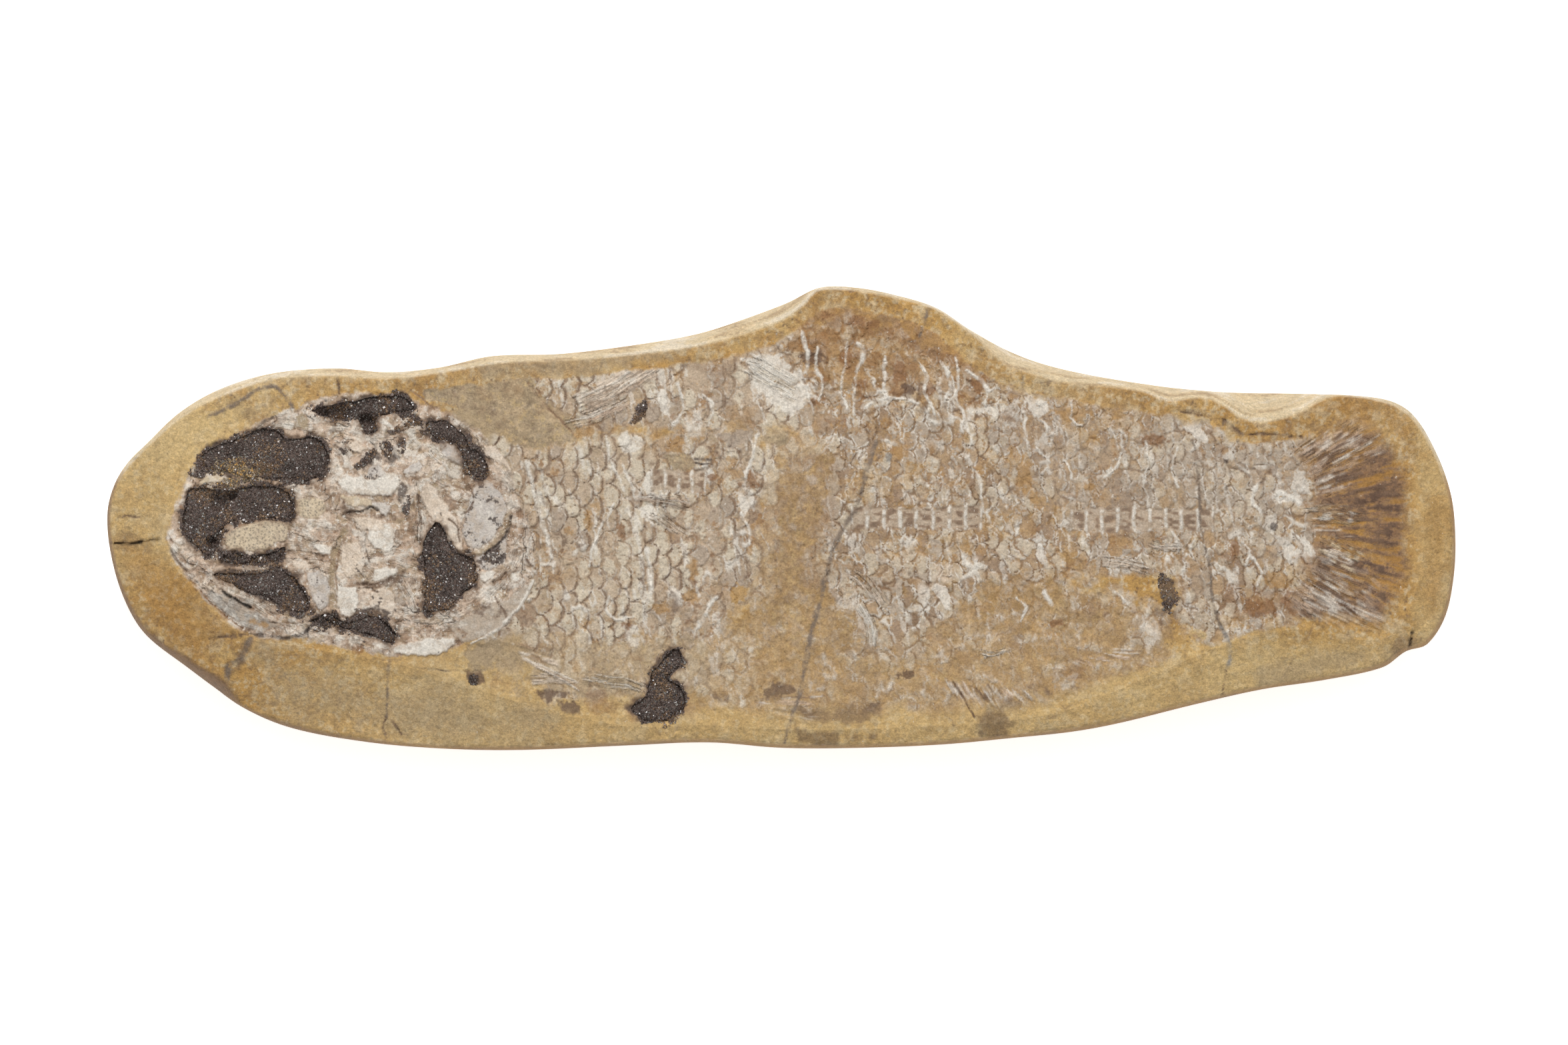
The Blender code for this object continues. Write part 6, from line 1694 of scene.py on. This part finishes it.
class CrystalSettings(bpy.types.PropertyGroup):
    """Sizes and finish of the crystals."""
    size: metres("Crystal size", "Usual edge length of a crystal", 0.00054, 0.0003, 0.01)
    spacing: metres("Spacing", "Distance between neighbouring crystals", 0.00046, 0.0003, 0.01)
    roughness: dullness("the facets are", 0.24)


class StageSettings(bpy.types.PropertyGroup):
    """Light, floor and camera."""
    fill: FloatProperty(name="Fill light", description="Strength of the light from all around",
                        default=0.70, min=0, max=5)
    key: FloatProperty(name="Main light", description="Power of the soft lamp, in watts",
                       default=46.0, min=0, max=2000)
    floor: FloatVectorProperty(name="Floor", description="Colour of the floor", subtype="COLOR",
                               default=(0.92, 0.92, 0.92), min=0, max=1)
    glow: FloatProperty(name="Floor glow", description="Light that the floor gives off, to soften shadows",
                        default=0.55, min=0, max=2)
    height: metres("Camera height", "Height of the camera over the face", 5.0, 0.5, 10)


def place_piece(piece, slot, *nodes):
    """Lets a finished piece stand for nodes of the frame: hides those nodes and hangs the piece under the
    root. The slot it is given is not used.
    """
    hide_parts(*nodes)
    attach(piece, "root")


# ---------------------------------------------------------------- operators

class FOSSIL_OT_stone(bpy.types.Operator):
    """Adds the limestone nodule around the fish"""
    bl_idname = "fossil.add_stone"
    bl_label = "Add the stone"

    def execute(self, context):
        chosen = context.scene.fossil_stone
        finish = finish_once("dressed limestone", face_finish, chosen.roughness, BONE_IN_STONE,
                             chosen.bump / MM, STONE_MOTTLE)
        place_piece(add_stone(chosen.grain / MM, finish), "limestone", "slab")
        return {"FINISHED"}


class FOSSIL_OT_fish(bpy.types.Operator):
    """Adds the fish in three parts: the skull, the front of the body and its rear"""
    bl_idname = "fossil.add_fish"
    bl_label = "Add the fish"

    def execute(self, context):
        chosen = context.scene.fossil_fish
        dull_stone = context.scene.fossil_stone.roughness
        finish = finish_once("dressed bone", face_finish, dull_stone, chosen.roughness, chosen.bump / MM,
                             BONE_MOTTLE)
        skull, front, rear = cut_outline(FISH_EDGE, (GILL_CUT, CRACK_CUT))
        in_skull = [name for name in HOLLOWS if name != "belly"]
        for name, outline, hollows, grain, seed in (
                ("skull", skull, in_skull, chosen.skull_grain, 3),
                ("body_front", front, ["belly"], chosen.body_grain, 4),
                ("body_rear", rear, [], chosen.body_grain, 5)):
            piece = add_fossil_part(name, outline, hollows, grain / MM, finish, seed)
            place_piece(piece, "fossil_bone", "fish")
        return {"FINISHED"}


class FOSSIL_OT_crystals(bpy.types.Operator):
    """Adds the crusts of dark crystals in the hollows"""
    bl_idname = "fossil.add_crystals"
    bl_label = "Add the crystals"

    def execute(self, context):
        chosen = context.scene.fossil_crystals
        finish = finish_once("dressed crystals", crystal_finish, chosen.roughness)
        crystal = rhomb()
        for seed, name in enumerate(HOLLOWS):
            piece = add_crust(name, chosen.size / MM, chosen.spacing / MM, finish, crystal, 1000 + 20 * seed)
            place_piece(piece, "calcite_crystals", "crystals_" + name)
        return {"FINISHED"}


FLOOR_SIZE = 8.0        # metres
LAMP_PLACE = (-0.15, 1.9, 2.0)
LAMP_TURN = (math.radians(-43.5), math.radians(-3), 0)
LAMP_SIZE = (1.0, 0.6)
VIEW_CENTRE = (0.001, -0.0014, 0.0425)      # the middle of the picture, on the face
VIEW_WIDTH = 0.6025     # metres of the face from side to side of the picture
SENSOR_WIDTH = 36.0     # millimetres, as a camera gives it


class FOSSIL_OT_stage(bpy.types.Operator):
    """Adds the floor, the lights and the camera"""
    bl_idname = "fossil.add_stage"
    bl_label = "Add the stage"

    def execute(self, context):
        chosen = context.scene.fossil_stage
        bpy.ops.object.select_all(action="DESELECT")
        bpy.ops.mesh.primitive_plane_add(size=FLOOR_SIZE)
        floor = context.object
        floor.name = "floor"
        paper = Finish("floor")
        paper.shader.inputs["Emission Color"].default_value = (1, 1, 1, 1)
        paper.shader.inputs["Emission Strength"].default_value = chosen.glow
        floor.data.materials.append(paper.done(tuple(chosen.floor), 0.9))
        bpy.ops.object.light_add(type="AREA", location=LAMP_PLACE, rotation=LAMP_TURN)
        lamp = context.object
        lamp.name = "soft lamp"
        lamp.data.shape = "RECTANGLE"
        lamp.data.size, lamp.data.size_y = LAMP_SIZE
        lamp.data.energy = chosen.key
        across, up, face = VIEW_CENTRE
        bpy.ops.object.camera_add(location=(across, up, face + chosen.height), rotation=(0, 0, 0))
        camera = context.object
        camera.name = "camera"
        camera.data.sensor_width = SENSOR_WIDTH
        camera.data.lens = SENSOR_WIDTH * chosen.height / VIEW_WIDTH
        camera.data.clip_end = 20
        context.scene.camera = camera
        world = context.scene.world or bpy.data.worlds.new("studio")
        context.scene.world = world
        world.use_nodes = True
        surround = world.node_tree.nodes["Background"]
        surround.inputs["Color"].default_value = (1, 1, 1, 1)
        surround.inputs["Strength"].default_value = chosen.fill
        context.scene.view_settings.view_transform = "Standard"
        return {"FINISHED"}


class FOSSIL_PT_panel(bpy.types.Panel):
    """Buttons that add the slab's pieces and their settings"""
    bl_idname = "FOSSIL_PT_panel"
    bl_label = "Fossil Fish Slab"
    bl_space_type = "VIEW_3D"
    bl_region_type = "UI"
    bl_category = "Fossil"

    def draw(self, context):
        for operator, settings in STEPS:
            box = self.layout.box()
            box.operator(operator.bl_idname)
            group = getattr(context.scene, settings)
            for name in group.__annotations__:
                box.prop(group, name)


STEPS = (
    (FOSSIL_OT_stone, "fossil_stone"),
    (FOSSIL_OT_fish, "fossil_fish"),
    (FOSSIL_OT_crystals, "fossil_crystals"),
    (FOSSIL_OT_stage, "fossil_stage"),
)
SETTINGS = {
    "fossil_stone": StoneSettings,
    "fossil_fish": FossilSettings,
    "fossil_crystals": CrystalSettings,
    "fossil_stage": StageSettings,
}


def register():
    for group in SETTINGS.values():
        bpy.utils.register_class(group)
    for operator, _ in STEPS:
        bpy.utils.register_class(operator)
    bpy.utils.register_class(FOSSIL_PT_panel)
    for name, group in SETTINGS.items():
        setattr(bpy.types.Scene, name, PointerProperty(type=group))


def unregister():
    for name in SETTINGS:
        delattr(bpy.types.Scene, name)
    bpy.utils.unregister_class(FOSSIL_PT_panel)
    for operator, _ in reversed(STEPS):
        bpy.utils.unregister_class(operator)
    for group in reversed(list(SETTINGS.values())):
        bpy.utils.unregister_class(group)


def main():
    register()
    bpy.ops.object.select_all(action="DESELECT")
    bpy.ops.fossil.add_stone()
    bpy.ops.fossil.add_fish()
    bpy.ops.fossil.add_crystals()
    bpy.ops.fossil.add_stage()


if __name__ == "__main__":
    main()
